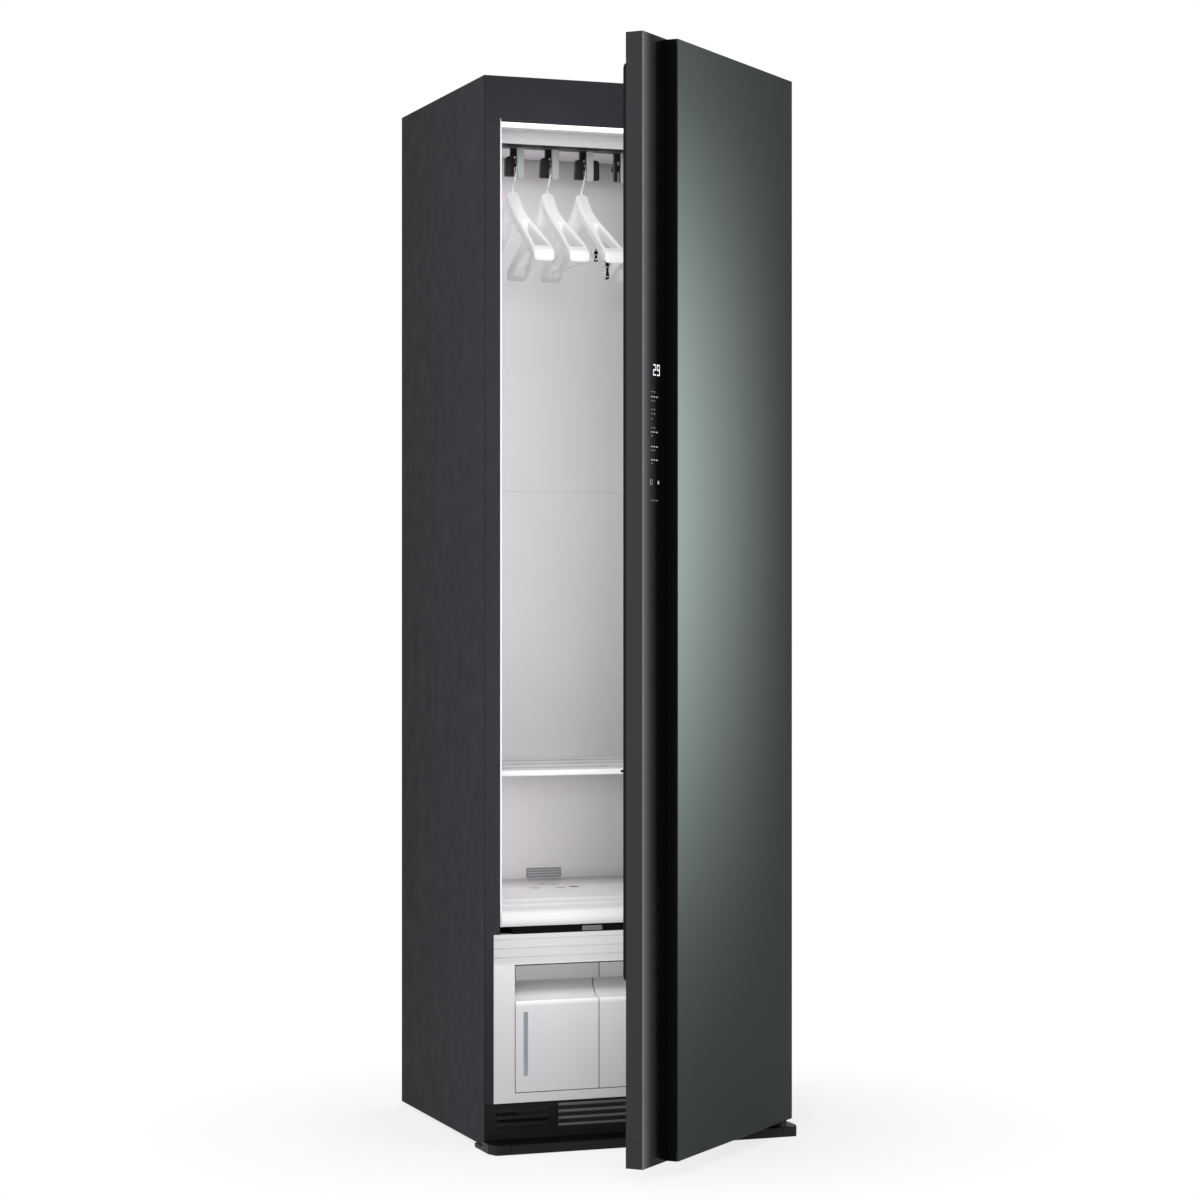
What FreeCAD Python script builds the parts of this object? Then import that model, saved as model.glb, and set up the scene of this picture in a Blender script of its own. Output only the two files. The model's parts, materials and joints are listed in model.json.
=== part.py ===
import FreeCAD, Part
import math
import os

V = FreeCAD.Vector
X_AXIS = V(1, 0, 0)
Y_AXIS = V(0, 1, 0)
Z_AXIS = V(0, 0, 1)

# Frame: X to the right, Y to the back, Z up. The origin is on the floor, in the middle of the
# cabinet's front plane. All sizes are in millimetres.

# ---- cabinet ----
cabinet_width = 594.0
cabinet_depth = 535.0
cabinet_top = 1944.0
cabinet_bottom = 8.0
panel_sheet = 2.0
pan_sheet = 3.0
pan_wall_height = 40.0
header_height = 82.0
header_bottom = cabinet_top - header_height
header_depth = 34.0
stile_width = 28.5
lower_stile_width = 16.5
stile_depth = 30.0
trim_wall = 3.0

# ---- chamber ----
liner_wall = 3.0
lens_thickness = 4.0
ceiling_z = header_bottom + lens_thickness
rear_duct_depth = 55.0
rear_wall_y = cabinet_depth - rear_duct_depth
rear_wall_thickness = 4.0
rear_band_bottom = 1152.0
rear_band_top = 1211.0
rear_band_depth = 1.5
rear_band_inset = 12.0
fascia_top = 389.0
floor_front_bottom = fascia_top + 14.0
floor_front_top = fascia_top + 41.0
floor_lip_depth = 4.0
floor_lip_rise = 3.0
floor_step_y = 95.0
floor_plateau = fascia_top + 54.0
floor_sheet = 3.0
fit_gap = 0.3
lens_front_y = 8.0
lens_rear_y = 100.0

# ---- shelf ----
shelf_top = 682.0
shelf_thickness = 11.0
shelf_front_y = 70.0
shelf_slat = 26.0
shelf_slot = 8.0
shelf_rim = 22.0
shelf_ledge_height = 6.0
shelf_ledge_width = 8.0
shelf_side_gap = 1.0
shelf_rear_gap = 2.0

# ---- lower front ----
fascia_bottom = 83.0
fascia_depth = 20.0
groove_drops = (41.9, 25.6, 9.3)
groove_width = 1.6
groove_depth = 1.0
kick_bottom = 12.0
kick_front_y = 2.0
louvre_left_inset = 23.0
louvre_right_inset = 59.0
louvre_side_end = 126.0
louvre_main_inset = 142.0
louvre_low = 30.0
louvre_high = 72.0
louvre_slot = 5.0
louvre_count = 4
plinth_top = 18.0
plinth_bottom = 0.0
plinth_front = 58.0
plinth_rear = 45.0
plinth_overhang = 4.0
plinth_chamfer_x = 8.0
plinth_chamfer_y = 22.0
plinth_corner_x = 6.0
plinth_corner_y = 2.0
plinth_cap_length = 36.0
foot_radius = 15.0
foot_stem_radius = 5.0
foot_stem_top = 26.0
foot_inset = 35.0
foot_x = cabinet_width / 2 - foot_inset
front_foot_y = 90.0
rear_foot_y = rear_wall_y - 10.0
stem_clearance = 0.1

# ---- tanks ----
bay_inset = 59.5
bay_left = bay_inset - cabinet_width / 2
tank_width = (cabinet_width - 272.0) / 2
tank_gap = 1.0
tank_bottom = 101.5
tank_top = 332.0
tank_depth = cabinet_depth - 273.0
tank_front_y = 1.0
tank_wall = 3.0
lid_height = 28.0
tank_rim = tank_top - lid_height
grip_height = 38.0
tank_face_top = tank_rim - grip_height
grip_depth = 34.0
lid_wall = 3.0
lid_web_inset = 1.0
lid_web_thickness = 2.0
filler_radius = 22.0
filler_clearance = 0.3
filler_web_half = 30.0
filler_rear_distance = 82.0
bay_wall = 3.0
bay_gap = 0.5
bay_leg_depth = 40.0
tank_window_offset = 15.5
tank_window_width = 8.5
tank_window_low = tank_bottom + 29.5
tank_window_high = tank_face_top - 19.0
tank_window_inlay = 1.0

# ---- lint filter ----
filter_left = bay_left - 5.5
filter_right = cabinet_width / 2 - 237.0
filter_depth = 170.0
filter_bottom = fascia_top + fit_gap
filter_top = fascia_top + 12.0
filter_rim = 12.0
filter_mesh_thickness = 1.5
filter_bars = 4
filter_deck_rear = 190.0

# ---- door ----
door_side_reveal = 2.0
door_width = cabinet_width - 2 * door_side_reveal
door_bottom = 30.0
door_rise = 16.0
door_top = cabinet_top + door_rise
door_gap = 8.0
door_frame_depth = 33.0
door_panel_proud = 20.0
door_skin = 3.0
door_cap_height = 45.0
door_hinge_chamfer = 5.0
door_open_angle = 43.4
strip_width = 95.0
strip_thickness = 2.5
glass_thickness = 4.0
tray_skin = 2.0
gasket_width = 10.0
gasket_inset = 3.0
gasket_hinge_inset = 30.0
gasket_low = 347.0
gasket_high = header_bottom + 48.0
door_pan_side = 50.0
door_pan_low = 330.0
door_pan_high = 60.0
door_pan_wall = 3.0
door_pan_depth = 12.0
display_low = 1150.0
display_high = 1410.0
display_edge = 2.0
board_side = 14.0
board_end = 6.0
board_thickness = 1.6
board_clearance = 0.4

# ---- hinges ----
pivot_inset = 31.5
pivot_x = door_width / 2 - pivot_inset
pivot_y = -52.5
hinge_plate = 4.0
hinge_pin_radius = 3.5
hinge_pin_length = 24.0
hinge_clearance = 0.05
hinge_arm_half_width = 4.2
hinge_arm_slant = 25.0
hinge_foot_depth = 70.0
hinge_foot_inner = 40.0
hinge_foot_outer = 12.0
hinge_notch_x = pivot_x - 30.0
hinge_notch_clearance = 1.0
hinge_cover_height = 14.0
hinge_cover_wall = 3.0
hinge_cover_margin = 6.0
hinge_cover_front = 2.0
lower_plate_half = 20.0
lower_plate_front = 30.0
slot_clearance = 0.5

# ---- moving hanger ----
holder_side_space = 124.5
holder_count = 6
holder_pitch = (cabinet_width - 2 * holder_side_space) / (holder_count - 1)
hanger_slots = (0, 1, 2, 4)
guard_sides = {0: (-1,), 1: (-1,), 2: (-1, 1), 4: (-1,)}
rail_front_y = 105.0
rail_apron = 4.0
rail_bottom = ceiling_z - 27.0
rail_top_plate = 4.0
rail_wall = 3.0
rail_underside = 2.0
rail_play = 1.0
bar_front_y = 157.0
bar_rear_y = 185.0
bar_bottom = ceiling_z - 25.0
lip_top = ceiling_z - 13.0
lip_thickness = 3.0
bar_head_overlap = 6.0
bar_head_top = ceiling_z - 6.0
bar_end_space = 61.0
bar_half_length = cabinet_width / 2 - bar_end_space
rail_half_length = cabinet_width / 2 - panel_sheet - stile_width - liner_wall - 1.5
drive_post_x = 6.0
drive_post_y = 5.0
yoke_half_x = 13.0
yoke_half_y = 21.0
yoke_slot_half_y = 17.0
strap_half_width = 6.8
strap_front_y = 165.0
strap_thickness = 6.0
strap_bottom = ceiling_z - 81.5
strap_corner = 4.0
arm_half_width = 8.5
arm_slot_half_width = 2.4
arm_slot_top = ceiling_z - 36.5
arm_front_y = 198.0
arm_rear_y = 206.0
arm_bottom = ceiling_z - 79.0
arm_foot_bottom = ceiling_z - 20.0
arm_corner = 4.0
peg_y = 214.0
peg_z = ceiling_z - 48.0
peg_radius = 7.0
peg_neck_low = 5.0
peg_neck_high = 3.0
guard_near = 7.5
guard_outer = 24.1
guard_front_y = 180.0
guard_rear_y = 194.0
guard_bottom = peg_z - 29.0
guard_top = peg_z + 9.0
guard_corner = 8.0
guard_web_low = 8.0
guard_web_high = 12.0
guard_web_reach = 3.0
hook_wire_radius = 1.9
hook_radius = 21.5
hook_start_angle = -20.0
hook_end_angle = 215.0
hook_run = 12.0
hook_neck_z = peg_z - 48.0
hanger_neck_top = peg_z - 53.0
hanger_stations = (0.0, 15.0, 30.5, 68.5, 114.0, 152.0, 190.0)
hanger_drops = (0.0, 17.0, 33.0, 58.0, 83.0, 105.0, 128.0)
hanger_half_widths = (12.0, 12.0, 12.5, 14.0, 17.0, 19.5, 20.5)
hanger_heights = (26.0, 26.0, 25.5, 25.0, 24.0, 23.0, 22.0)
hanger_corner = 8.0
hanger_slot_stations = (72.0, 166.0, 173.0)
hanger_slot_half_widths = (3.0, 13.5, 11.0)
clip_bar_radius = 2.0
clip_bar_z = peg_z - 184.0
clip_bar_half_length = 182.0
clip_width = 10.0
clip_places = ((-144.0, -118.0, -43.0, 3.0), (-81.0, -65.0, -4.0, 22.0))

# ---- shaker drive ----
crank_x = cabinet_width / 2 - 107.0
crank_y = 171.0
crank_window_x = 34.0
crank_window_y = 28.0
crank_radius = 12.0
crank_disc_radius = 20.0
crank_disc_bottom = ceiling_z + 22.0
crank_disc_thickness = 6.0
crank_pin_radius = 4.0
yoke_top = ceiling_z + 18.0
yoke_plate = 4.0
motor_radius = 26.0
motor_plate_z = ceiling_z + 31.0
motor_plate = 3.0
motor_height = 36.0
motor_shaft_radius = 4.0
motor_shaft_reach = 20.0
motor_post = 8.0
motor_post_offset = 36.0

# ---- machine space ----
exchanger_left = bay_left - 14.5
exchanger_right = cabinet_width / 2 - 205.0
exchanger_front_y = cabinet_depth - 235.0
exchanger_rear_y = rear_wall_y - 10.0
exchanger_bottom = 210.0
exchanger_top = 370.0
exchanger_plate = 2.0
exchanger_fin = 6.0
exchanger_fin_pitch = 18.0
exchanger_fin_inset = 6.0
exchanger_fin_top_gap = 4.0
exchanger_tube_columns = 4
exchanger_tube_rows = 3
exchanger_tube_pitch_y = 36.0
exchanger_tube_pitch_z = 48.0
exchanger_tube_margin = 30.0
boiler_x = exchanger_left + 60.0
boiler_y = rear_wall_y - 105.0
boiler_radius = 50.0
boiler_height = 120.0
boiler_foot_half = 40.0
boiler_foot_height = 14.0
boiler_lift = 12.0
boiler_flange_overhang = 6.0
boiler_flange_drop = 30.0
boiler_flange_height = 6.0
blower_x = exchanger_right - 77.0
blower_y = rear_wall_y - 95.0
blower_lift = 40.0
blower_duct_length = 110.0
blower_motor_radius = 32.0
blower_radius = 72.0
blower_wall = 3.0
blower_height = 150.0
fan_radius = 52.0
fan_hub_radius = 12.0
fan_hub_height = 24.0
fan_disc = 3.0
fan_ring_width = 8.0
fan_ring_height = 4.0
fan_inlet_lip = 12.0
fan_floor_gap = 10.0
fan_top_gap = 12.0
fan_blades = 16
fan_blade_length = 10.0
fan_blade_half = 1.0
fan_shaft_radius = 4.0
fan_shaft_start = 5.0
compressor_x = cabinet_width / 2 - 107.0
compressor_y = 150.0
compressor_radius = 68.0
compressor_height = 210.0
compressor_foot = 12.0
compressor_foot_radius = 9.0
compressor_foot_x = 68.0
compressor_foot_y = 28.0
compressor_plate_x = 80.0
compressor_plate_y = 40.0
compressor_plate = 4.0
compressor_dome = 24.0
control_left = cabinet_width / 2 - 182.0
control_right = cabinet_width / 2 - 47.0
control_front_y = rear_wall_y - 160.0
control_rear_y = rear_wall_y + 20.0
control_height = 120.0
pipe_radius = 5.0
pipe_bend = 14.0
suction_offset = 20.0
suction_rise = 50.0
suction_reach = 60.0
steam_pipe_bend = 12.0
steam_pipe_back = 26.0
steam_pipe_z = 190.0
steam_outlet_left = -57.0
steam_outlet_right = 15.0
steam_outlet_low = floor_plateau + 3.0
steam_outlet_high = floor_plateau + 21.0
steam_outlet_rim = 3.0
steam_outlet_slat = 2.0
steam_outlet_slat_pitch = 5.0
steam_outlet_slat_count = 3
steam_outlet_proud = 2.0
screw_head_radius = 4.0
screw_head_height = 2.5
hinge_screws = ((-28.0, 20.0), (0.0, 20.0), (-14.0, 50.0))
lower_screw_offset = 12.0
lower_screw_y = -15.0
lower_screw_height = 0.7
back_screw_inset = 12.0
back_screw_low = 60.0
back_screw_top_margin = 59.0
back_screw_rows = 6
back_screw_pitch = (cabinet_top - back_screw_top_margin - back_screw_low) / (back_screw_rows - 1)
back_vent_rows = 8
back_vent_pitch = 14.0
back_vent_height = 5.0
back_vent_low = 120.0
back_vent_left = cabinet_width / 2 - 237.0
back_vent_right = cabinet_width / 2 - 97.0
gland_x = 97.0 - cabinet_width / 2
gland_z = 70.0
gland_radius = 14.0
gland_bore = 4.5
gland_depth = 6.0
floor_vent_left = -200.0
floor_vent_pitch = 28.0
floor_vent_length = 18.0
floor_vent_width = 6.0
floor_vents = (0, 1, 2, 3, 4, 9, 10, 11, 12, 13, 14)
floor_vent_y = rear_wall_y - 50.0
overcut = 1.0
tiny = 0.01

# ---- derived places ----
half = cabinet_width / 2
inner_half = half - panel_sheet
chamber_half = inner_half - stile_width
lower_half = inner_half - lower_stile_width
liner_inner_half = chamber_half - liner_wall
pan_floor = cabinet_bottom + pan_sheet
rear_inner_y = cabinet_depth - panel_sheet
door_half = door_width / 2
door_back_y = -door_gap
door_front_y = door_back_y - door_frame_depth
panel_front_y = door_front_y - door_panel_proud
strip_back_y = door_front_y + strip_thickness
glass_back_y = panel_front_y + glass_thickness
panel_left = -door_half + strip_width
bay_right = bay_left + 2 * tank_width + tank_gap + 2 * bay_gap
bay_bottom = tank_bottom - bay_gap
bay_top = tank_top + bay_gap
bay_rear = tank_front_y + tank_depth + bay_gap
filter_deck_z = filter_bottom - fit_gap
lip_bottom = lip_top - lip_thickness
louvres = ((louvre_left_inset - half, louvre_side_end - half),
           (louvre_main_inset - half, half - louvre_main_inset),
           (half - louvre_side_end, half - louvre_right_inset))
holder_xs = [(i - (holder_count - 1) / 2) * holder_pitch for i in range(holder_count)]


def box(x0, x1, y0, y1, z0, z1):
    return Part.makeBox(x1 - x0, y1 - y0, z1 - z0, V(x0, y0, z0))


def cyl(radius, x, y, z0, z1):
    return Part.makeCylinder(radius, z1 - z0, V(x, y, z0), Z_AXIS)


def bar_x(radius, x0, x1, y, z):
    return Part.makeCylinder(radius, x1 - x0, V(x0, y, z), X_AXIS)


def bar_y(radius, x, y0, y1, z):
    return Part.makeCylinder(radius, y1 - y0, V(x, y0, z), Y_AXIS)


def join(shapes):
    if len(shapes) == 1:
        return shapes[0]
    return shapes[0].fuse(shapes[1:]).removeSplitter()


def cut(shape, tools):
    return shape.cut(tools) if isinstance(tools, list) else shape.cut([tools])


def mirror_x(shape):
    return shape.mirror(V(0, 0, 0), X_AXIS)


def profile_x(points, x0, x1):
    """Extrude a closed (y, z) outline along X from x0 to x1."""
    wire = Part.makePolygon([V(x0, y, z) for y, z in points + points[:1]])
    return Part.Face(wire).extrude(V(x1 - x0, 0, 0))


def profile_z(points, z0, z1):
    """Extrude a closed (x, y) outline along Z from z0 to z1."""
    wire = Part.makePolygon([V(x, y, z0) for x, y in points + points[:1]])
    return Part.Face(wire).extrude(V(0, 0, z1 - z0))


def tube(points, radius, bend):
    """A round rod along straight runs joined by tangent arcs of the given bend radius."""
    edges = []
    start = points[0]
    for before, corner, after in zip(points, points[1:], points[2:]):
        toward = (before - corner).normalize()
        onward = (after - corner).normalize()
        half_turn = (math.pi - toward.getAngle(onward)) / 2
        reach = bend * math.tan(half_turn)
        first = corner + toward * reach
        last = corner + onward * reach
        middle_way = (toward + onward).normalize()
        middle = corner + middle_way * (bend / math.cos(half_turn) - bend)
        edges.append(Part.LineSegment(start, first).toShape())
        edges.append(Part.Arc(first, middle, last).toShape())
        start = last
    edges.append(Part.LineSegment(start, points[-1]).toShape())
    way = Part.Wire(edges)
    direction = points[1] - points[0]
    ring = Part.Wire([Part.makeCircle(radius, points[0], direction)])
    return way.makePipeShell([ring], True, False)


def open_door(shape):
    """Swing a door piece, drawn closed, to the rest position of the door."""
    turned = shape.copy()
    turned.rotate(V(pivot_x, pivot_y, 0), Z_AXIS, door_open_angle)
    return turned


# ---- outer cabinet ----

def side_panel():
    return box(-half, -inner_half, 0, cabinet_depth, cabinet_bottom, cabinet_top)


def top_panel():
    return box(-inner_half, inner_half, header_depth, rear_inner_y, cabinet_top - panel_sheet, cabinet_top)


def back_panel():
    plate = box(-inner_half, inner_half, rear_inner_y, cabinet_depth, pan_floor, cabinet_top)
    slots = []
    for row in range(back_vent_rows):
        z = back_vent_low + row * back_vent_pitch
        slots.append(box(back_vent_left, back_vent_right, rear_inner_y - overcut, cabinet_depth + overcut,
                         z, z + back_vent_height))
    gland_front_y = rear_inner_y - gland_depth
    gland = bar_y(gland_radius, gland_x, gland_front_y, cabinet_depth, gland_z)
    hole = bar_y(gland_bore, gland_x, gland_front_y - overcut, cabinet_depth + overcut, gland_z)
    return cut(join([plate, gland]), slots + [hole])


def base_pan():
    shell = box(-inner_half, inner_half, kick_front_y + trim_wall, rear_inner_y,
                cabinet_bottom, cabinet_bottom + pan_wall_height)
    hollow = box(-inner_half + pan_sheet, inner_half - pan_sheet, kick_front_y + trim_wall + pan_sheet,
                 rear_inner_y - pan_sheet, pan_floor, cabinet_bottom + pan_wall_height + 1)
    holes = [cyl(foot_stem_radius + stem_clearance, x, y, cabinet_bottom - 1, pan_floor + 1)
             for x in (-foot_x, foot_x) for y in (front_foot_y, rear_foot_y)]
    return cut(shell, [hollow] + holes)


def levelling_feet():
    feet = []
    for x in (-foot_x, foot_x):
        for y in (front_foot_y, rear_foot_y):
            pad = cyl(foot_radius, x, y, 0, cabinet_bottom)
            stem = cyl(foot_stem_radius, x, y, cabinet_bottom, foot_stem_top)
            feet.append(pad.fuse(stem))
    return Part.makeCompound(feet)


def header():
    outer = box(-inner_half, inner_half, 0, header_depth, header_bottom, cabinet_top)
    hollow = box(-inner_half + trim_wall, inner_half - trim_wall, trim_wall, header_depth + 1,
                 header_bottom + trim_wall, cabinet_top - panel_sheet)
    lens_slot = box(-chamber_half, chamber_half, lens_front_y, header_depth + 1,
                    header_bottom - 1, header_bottom + trim_wall + 1)
    return cut(outer, [hollow, lens_slot])


def stile():
    upper = box(-inner_half, -chamber_half, 0, stile_depth, fascia_top, header_bottom)
    upper_hollow = box(-inner_half + trim_wall, -chamber_half - trim_wall, trim_wall, stile_depth + 1,
                       fascia_top + trim_wall, header_bottom - trim_wall)
    lower = box(-inner_half, -lower_half, 0, stile_depth, fascia_bottom, fascia_top)
    lower_hollow = box(-inner_half + trim_wall, -lower_half - trim_wall, trim_wall, stile_depth + 1,
                       fascia_bottom + trim_wall, fascia_top + 2 * trim_wall)
    return cut(join([upper, lower]), [upper_hollow, lower_hollow])


def kick_plate():
    rear = kick_front_y + trim_wall
    plate = box(-inner_half, inner_half, kick_front_y, rear, kick_bottom, fascia_bottom)
    pitch = (louvre_high - louvre_low - louvre_slot) / (louvre_count - 1)
    slots = []
    for left, right in louvres:
        for row in range(louvre_count):
            z = louvre_low + row * pitch
            slots.append(box(left, right, kick_front_y - overcut, rear + overcut, z, z + louvre_slot))
    reach = lower_plate_half + slot_clearance
    arm_slot = box(pivot_x - reach, pivot_x + reach, kick_front_y - overcut, rear + overcut,
                   kick_bottom - overcut, plinth_top + hinge_plate + slot_clearance)
    return cut(plate, slots + [arm_slot])


def plinth_outline():
    side = half + plinth_overhang
    right = [(side - plinth_chamfer_x - plinth_corner_x, -plinth_front),
             (side - plinth_chamfer_x, plinth_corner_y - plinth_front),
             (side, plinth_chamfer_y - plinth_front),
             (side, plinth_rear)]
    left = [(-x, y) for x, y in reversed(right)]
    return left + right


def plinth_between(left, right):
    raised = profile_z(plinth_outline(), plinth_bottom, plinth_top)
    side = half + plinth_overhang + overcut
    under_cabinet = box(-side, side, 0, plinth_rear + overcut, cabinet_bottom, plinth_top + overcut)
    room = box(left, right, -plinth_front - overcut, plinth_rear + overcut, plinth_bottom, plinth_top)
    return cut(raised, under_cabinet).common(room)


def plinth_bar():
    reach = half + plinth_overhang - plinth_cap_length
    return plinth_between(-reach, reach)


def plinth_end_caps():
    side = half + plinth_overhang
    left = plinth_between(-side - overcut, plinth_cap_length - side)
    return Part.makeCompound([left, mirror_x(left)])


# ---- chamber ----

def chamber_liner():
    outer = box(-chamber_half, chamber_half, stile_depth, rear_wall_y,
                floor_front_bottom, ceiling_z + liner_wall)
    inner = box(-liner_inner_half, liner_inner_half, stile_depth - overcut, rear_wall_y + overcut,
                floor_front_bottom - overcut, ceiling_z)
    window = box(crank_x - crank_window_x, crank_x + crank_window_x,
                 crank_y - crank_window_y, crank_y + crank_window_y,
                 ceiling_z - overcut, ceiling_z + liner_wall + overcut)
    front_lining = box(-chamber_half, -liner_inner_half, 0, stile_depth, floor_front_bottom, header_bottom)
    rib_depth = liner_inner_half - shelf_ledge_width
    ledge = box(-liner_inner_half, -rib_depth, shelf_front_y, rear_wall_y,
                shelf_top - shelf_thickness - shelf_ledge_height - fit_gap,
                shelf_top - shelf_thickness - fit_gap)
    shell = cut(outer, [inner, window])
    return join([shell, front_lining, mirror_x(front_lining), ledge, mirror_x(ledge)])


def liner_back_wall():
    wall = box(-chamber_half, chamber_half, rear_wall_y, rear_wall_y + rear_wall_thickness,
               floor_front_bottom, ceiling_z + liner_wall)
    band_half = liner_inner_half - rear_band_inset
    band = box(-band_half, band_half, rear_wall_y - overcut, rear_wall_y + rear_band_depth,
               rear_band_bottom, rear_band_top)
    outlet = box(steam_outlet_left - fit_gap, steam_outlet_right + fit_gap,
                 rear_wall_y - overcut, rear_wall_y + rear_wall_thickness + overcut,
                 steam_outlet_low - fit_gap, steam_outlet_high + fit_gap)
    return cut(wall, [band, outlet])


def chamber_floor():
    edge = liner_inner_half
    skin = floor_sheet
    points = [(0, floor_front_bottom), (0, floor_front_top), (floor_lip_depth, floor_front_top + floor_lip_rise),
              (floor_step_y, floor_plateau), (rear_wall_y, floor_plateau),
              (rear_wall_y, floor_plateau - skin), (floor_step_y, floor_plateau - skin),
              (skin + floor_lip_depth / 2, floor_front_top), (skin, floor_front_bottom)]
    deck = profile_x(points, -edge, edge)
    vents = []
    for i in floor_vents:
        left = floor_vent_left + i * floor_vent_pitch
        vents.append(box(left, left + floor_vent_length, floor_vent_y, floor_vent_y + floor_vent_width,
                         floor_plateau - skin - overcut, floor_plateau + overcut))
    return cut(deck, vents)


def light_lens():
    return box(-liner_inner_half, liner_inner_half, lens_front_y, lens_rear_y, header_bottom, ceiling_z)


def shelf():
    side = liner_inner_half - shelf_side_gap
    rear = rear_wall_y - shelf_rear_gap
    plate = box(-side, side, shelf_front_y, rear, shelf_top - shelf_thickness, shelf_top)
    slots = []
    y = shelf_front_y + shelf_rim
    while y + shelf_slot < rear - shelf_rim:
        for x0, x1 in ((-side + shelf_rim, -shelf_rim / 2), (shelf_rim / 2, side - shelf_rim)):
            slots.append(box(x0, x1, y, y + shelf_slot,
                             shelf_top - shelf_thickness - overcut, shelf_top + overcut))
        y += shelf_slat + shelf_slot
    return cut(plate, slots)


def steam_outlet():
    back = rear_wall_y + rear_wall_thickness
    front = rear_wall_y - steam_outlet_proud
    frame = box(steam_outlet_left, steam_outlet_right, front, back, steam_outlet_low, steam_outlet_high)
    slats = []
    for i in range(steam_outlet_slat_count):
        low = steam_outlet_low + steam_outlet_rim + i * steam_outlet_slat_pitch
        slats.append(box(steam_outlet_left + steam_outlet_rim, steam_outlet_right - steam_outlet_rim,
                         front - overcut, rear_wall_y + steam_outlet_proud, low, low + steam_outlet_slat))
    grille = cut(frame, slats)
    x = (steam_outlet_left + steam_outlet_right) / 2
    z = (steam_outlet_low + steam_outlet_high) / 2
    run_y = back + steam_pipe_back
    path = [V(x, back, z), V(x, run_y, z), V(x, run_y, steam_pipe_z), V(boiler_x, run_y, steam_pipe_z),
            V(boiler_x, boiler_y, steam_pipe_z), V(boiler_x, boiler_y, pan_floor + boiler_height)]
    return join([grille, tube(path, pipe_radius, steam_pipe_bend)])


# ---- lower front ----

def lower_fascia():
    front = box(-lower_half, lower_half, 0, fascia_depth, fascia_bottom, fascia_top)
    hollow = box(-lower_half + trim_wall, lower_half - trim_wall, trim_wall, fascia_depth + overcut,
                 fascia_bottom + trim_wall, fascia_top - trim_wall)
    opening = box(bay_left, bay_right, -overcut, trim_wall + overcut, bay_bottom, bay_top)
    grooves = []
    for drop in groove_drops:
        low = fascia_top - drop - groove_width / 2
        grooves.append(box(-lower_half - overcut, lower_half + overcut, -overcut, groove_depth,
                           low, low + groove_width))
    return cut(front, [hollow, opening] + grooves)


def tank_bay():
    left = bay_left - bay_wall
    right = bay_right + bay_wall
    outer = box(left, right, trim_wall, bay_rear + bay_wall, bay_bottom - bay_wall, bay_top + bay_wall)
    inner = box(bay_left, bay_right, trim_wall - overcut, bay_rear, bay_bottom, bay_top)
    deck = box(-chamber_half, chamber_half, fascia_depth, filter_deck_rear,
               filter_deck_z - bay_wall, filter_deck_z)
    webs = []
    legs = []
    for x in (left, right - bay_wall):
        webs.append(box(x, x + bay_wall, fascia_depth, filter_deck_rear,
                        bay_top + bay_wall, filter_deck_z - bay_wall))
        legs.append(box(x, x + bay_wall, bay_rear - bay_leg_depth, bay_rear + bay_wall,
                        pan_floor, bay_bottom - bay_wall))
    return join([cut(outer, inner), deck] + webs + legs)


def tank_x(index):
    left = bay_left + bay_gap + index * (tank_width + tank_gap)
    return left, left + tank_width


def tank_side_face(inset):
    """The side outline of a tank body: flat face, concave finger recess and open rim."""
    front = tank_front_y + inset
    rear = tank_front_y + tank_depth - inset
    low = tank_bottom + inset
    centre = V(0, tank_front_y, tank_rim)
    radius = max(grip_depth, grip_height) + inset
    start = V(0, front, tank_rim - math.sqrt(radius ** 2 - inset ** 2))
    end = V(0, tank_front_y + radius, tank_rim)
    slant = math.radians(-45)
    middle = V(0, centre.y + radius * math.cos(slant), centre.z + radius * math.sin(slant))
    edges = [Part.LineSegment(V(0, front, low), start).toShape(), Part.Arc(start, middle, end).toShape()]
    top = tank_rim
    if inset:
        top = tank_rim + overcut
        raised = V(0, end.y, top)
        edges.append(Part.LineSegment(end, raised).toShape())
        end = raised
    edges.append(Part.LineSegment(end, V(0, rear, top)).toShape())
    edges.append(Part.LineSegment(V(0, rear, top), V(0, rear, low)).toShape())
    edges.append(Part.LineSegment(V(0, rear, low), V(0, front, low)).toShape())
    return Part.Face(Part.Wire(edges))


def tank_body(index):
    left, right = tank_x(index)
    outer = tank_side_face(0).extrude(V(right - left, 0, 0))
    outer.translate(V(left, 0, 0))
    inner = tank_side_face(tank_wall).extrude(V(right - left - 2 * tank_wall, 0, 0))
    inner.translate(V(left + tank_wall, 0, 0))
    window_left = left + tank_window_offset
    window = box(window_left, window_left + tank_window_width,
                 tank_front_y - overcut, tank_front_y + tank_window_inlay,
                 tank_window_low, tank_window_high)
    return cut(outer, [inner, window])


def tank_lid(index):
    left, right = tank_x(index)
    rear = tank_front_y + tank_depth
    cap = box(left, right, tank_front_y, rear, tank_rim, tank_top)
    hollow = box(left + lid_wall, right - lid_wall, tank_front_y + lid_wall, rear - lid_wall,
                 tank_rim - overcut, tank_top - lid_wall)
    front_floor = box(left, right, tank_front_y, tank_front_y + grip_depth + tank_wall + lid_wall,
                      tank_rim, tank_rim + lid_wall)
    middle = (left + right) / 2
    filler_y = rear - filler_rear_distance
    under = tank_top - lid_wall
    filler = cyl(filler_radius, middle, filler_y, under - overcut, tank_top + overcut)
    filler_cap = cyl(filler_radius - filler_clearance, middle, filler_y, under - overcut, tank_top - overcut)
    web = box(left + lid_web_inset, right - lid_web_inset, filler_y - filler_web_half,
              filler_y + filler_web_half, under - lid_web_thickness, under)
    return join([cut(cap, [hollow, filler]), front_floor, filler_cap, web])


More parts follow.
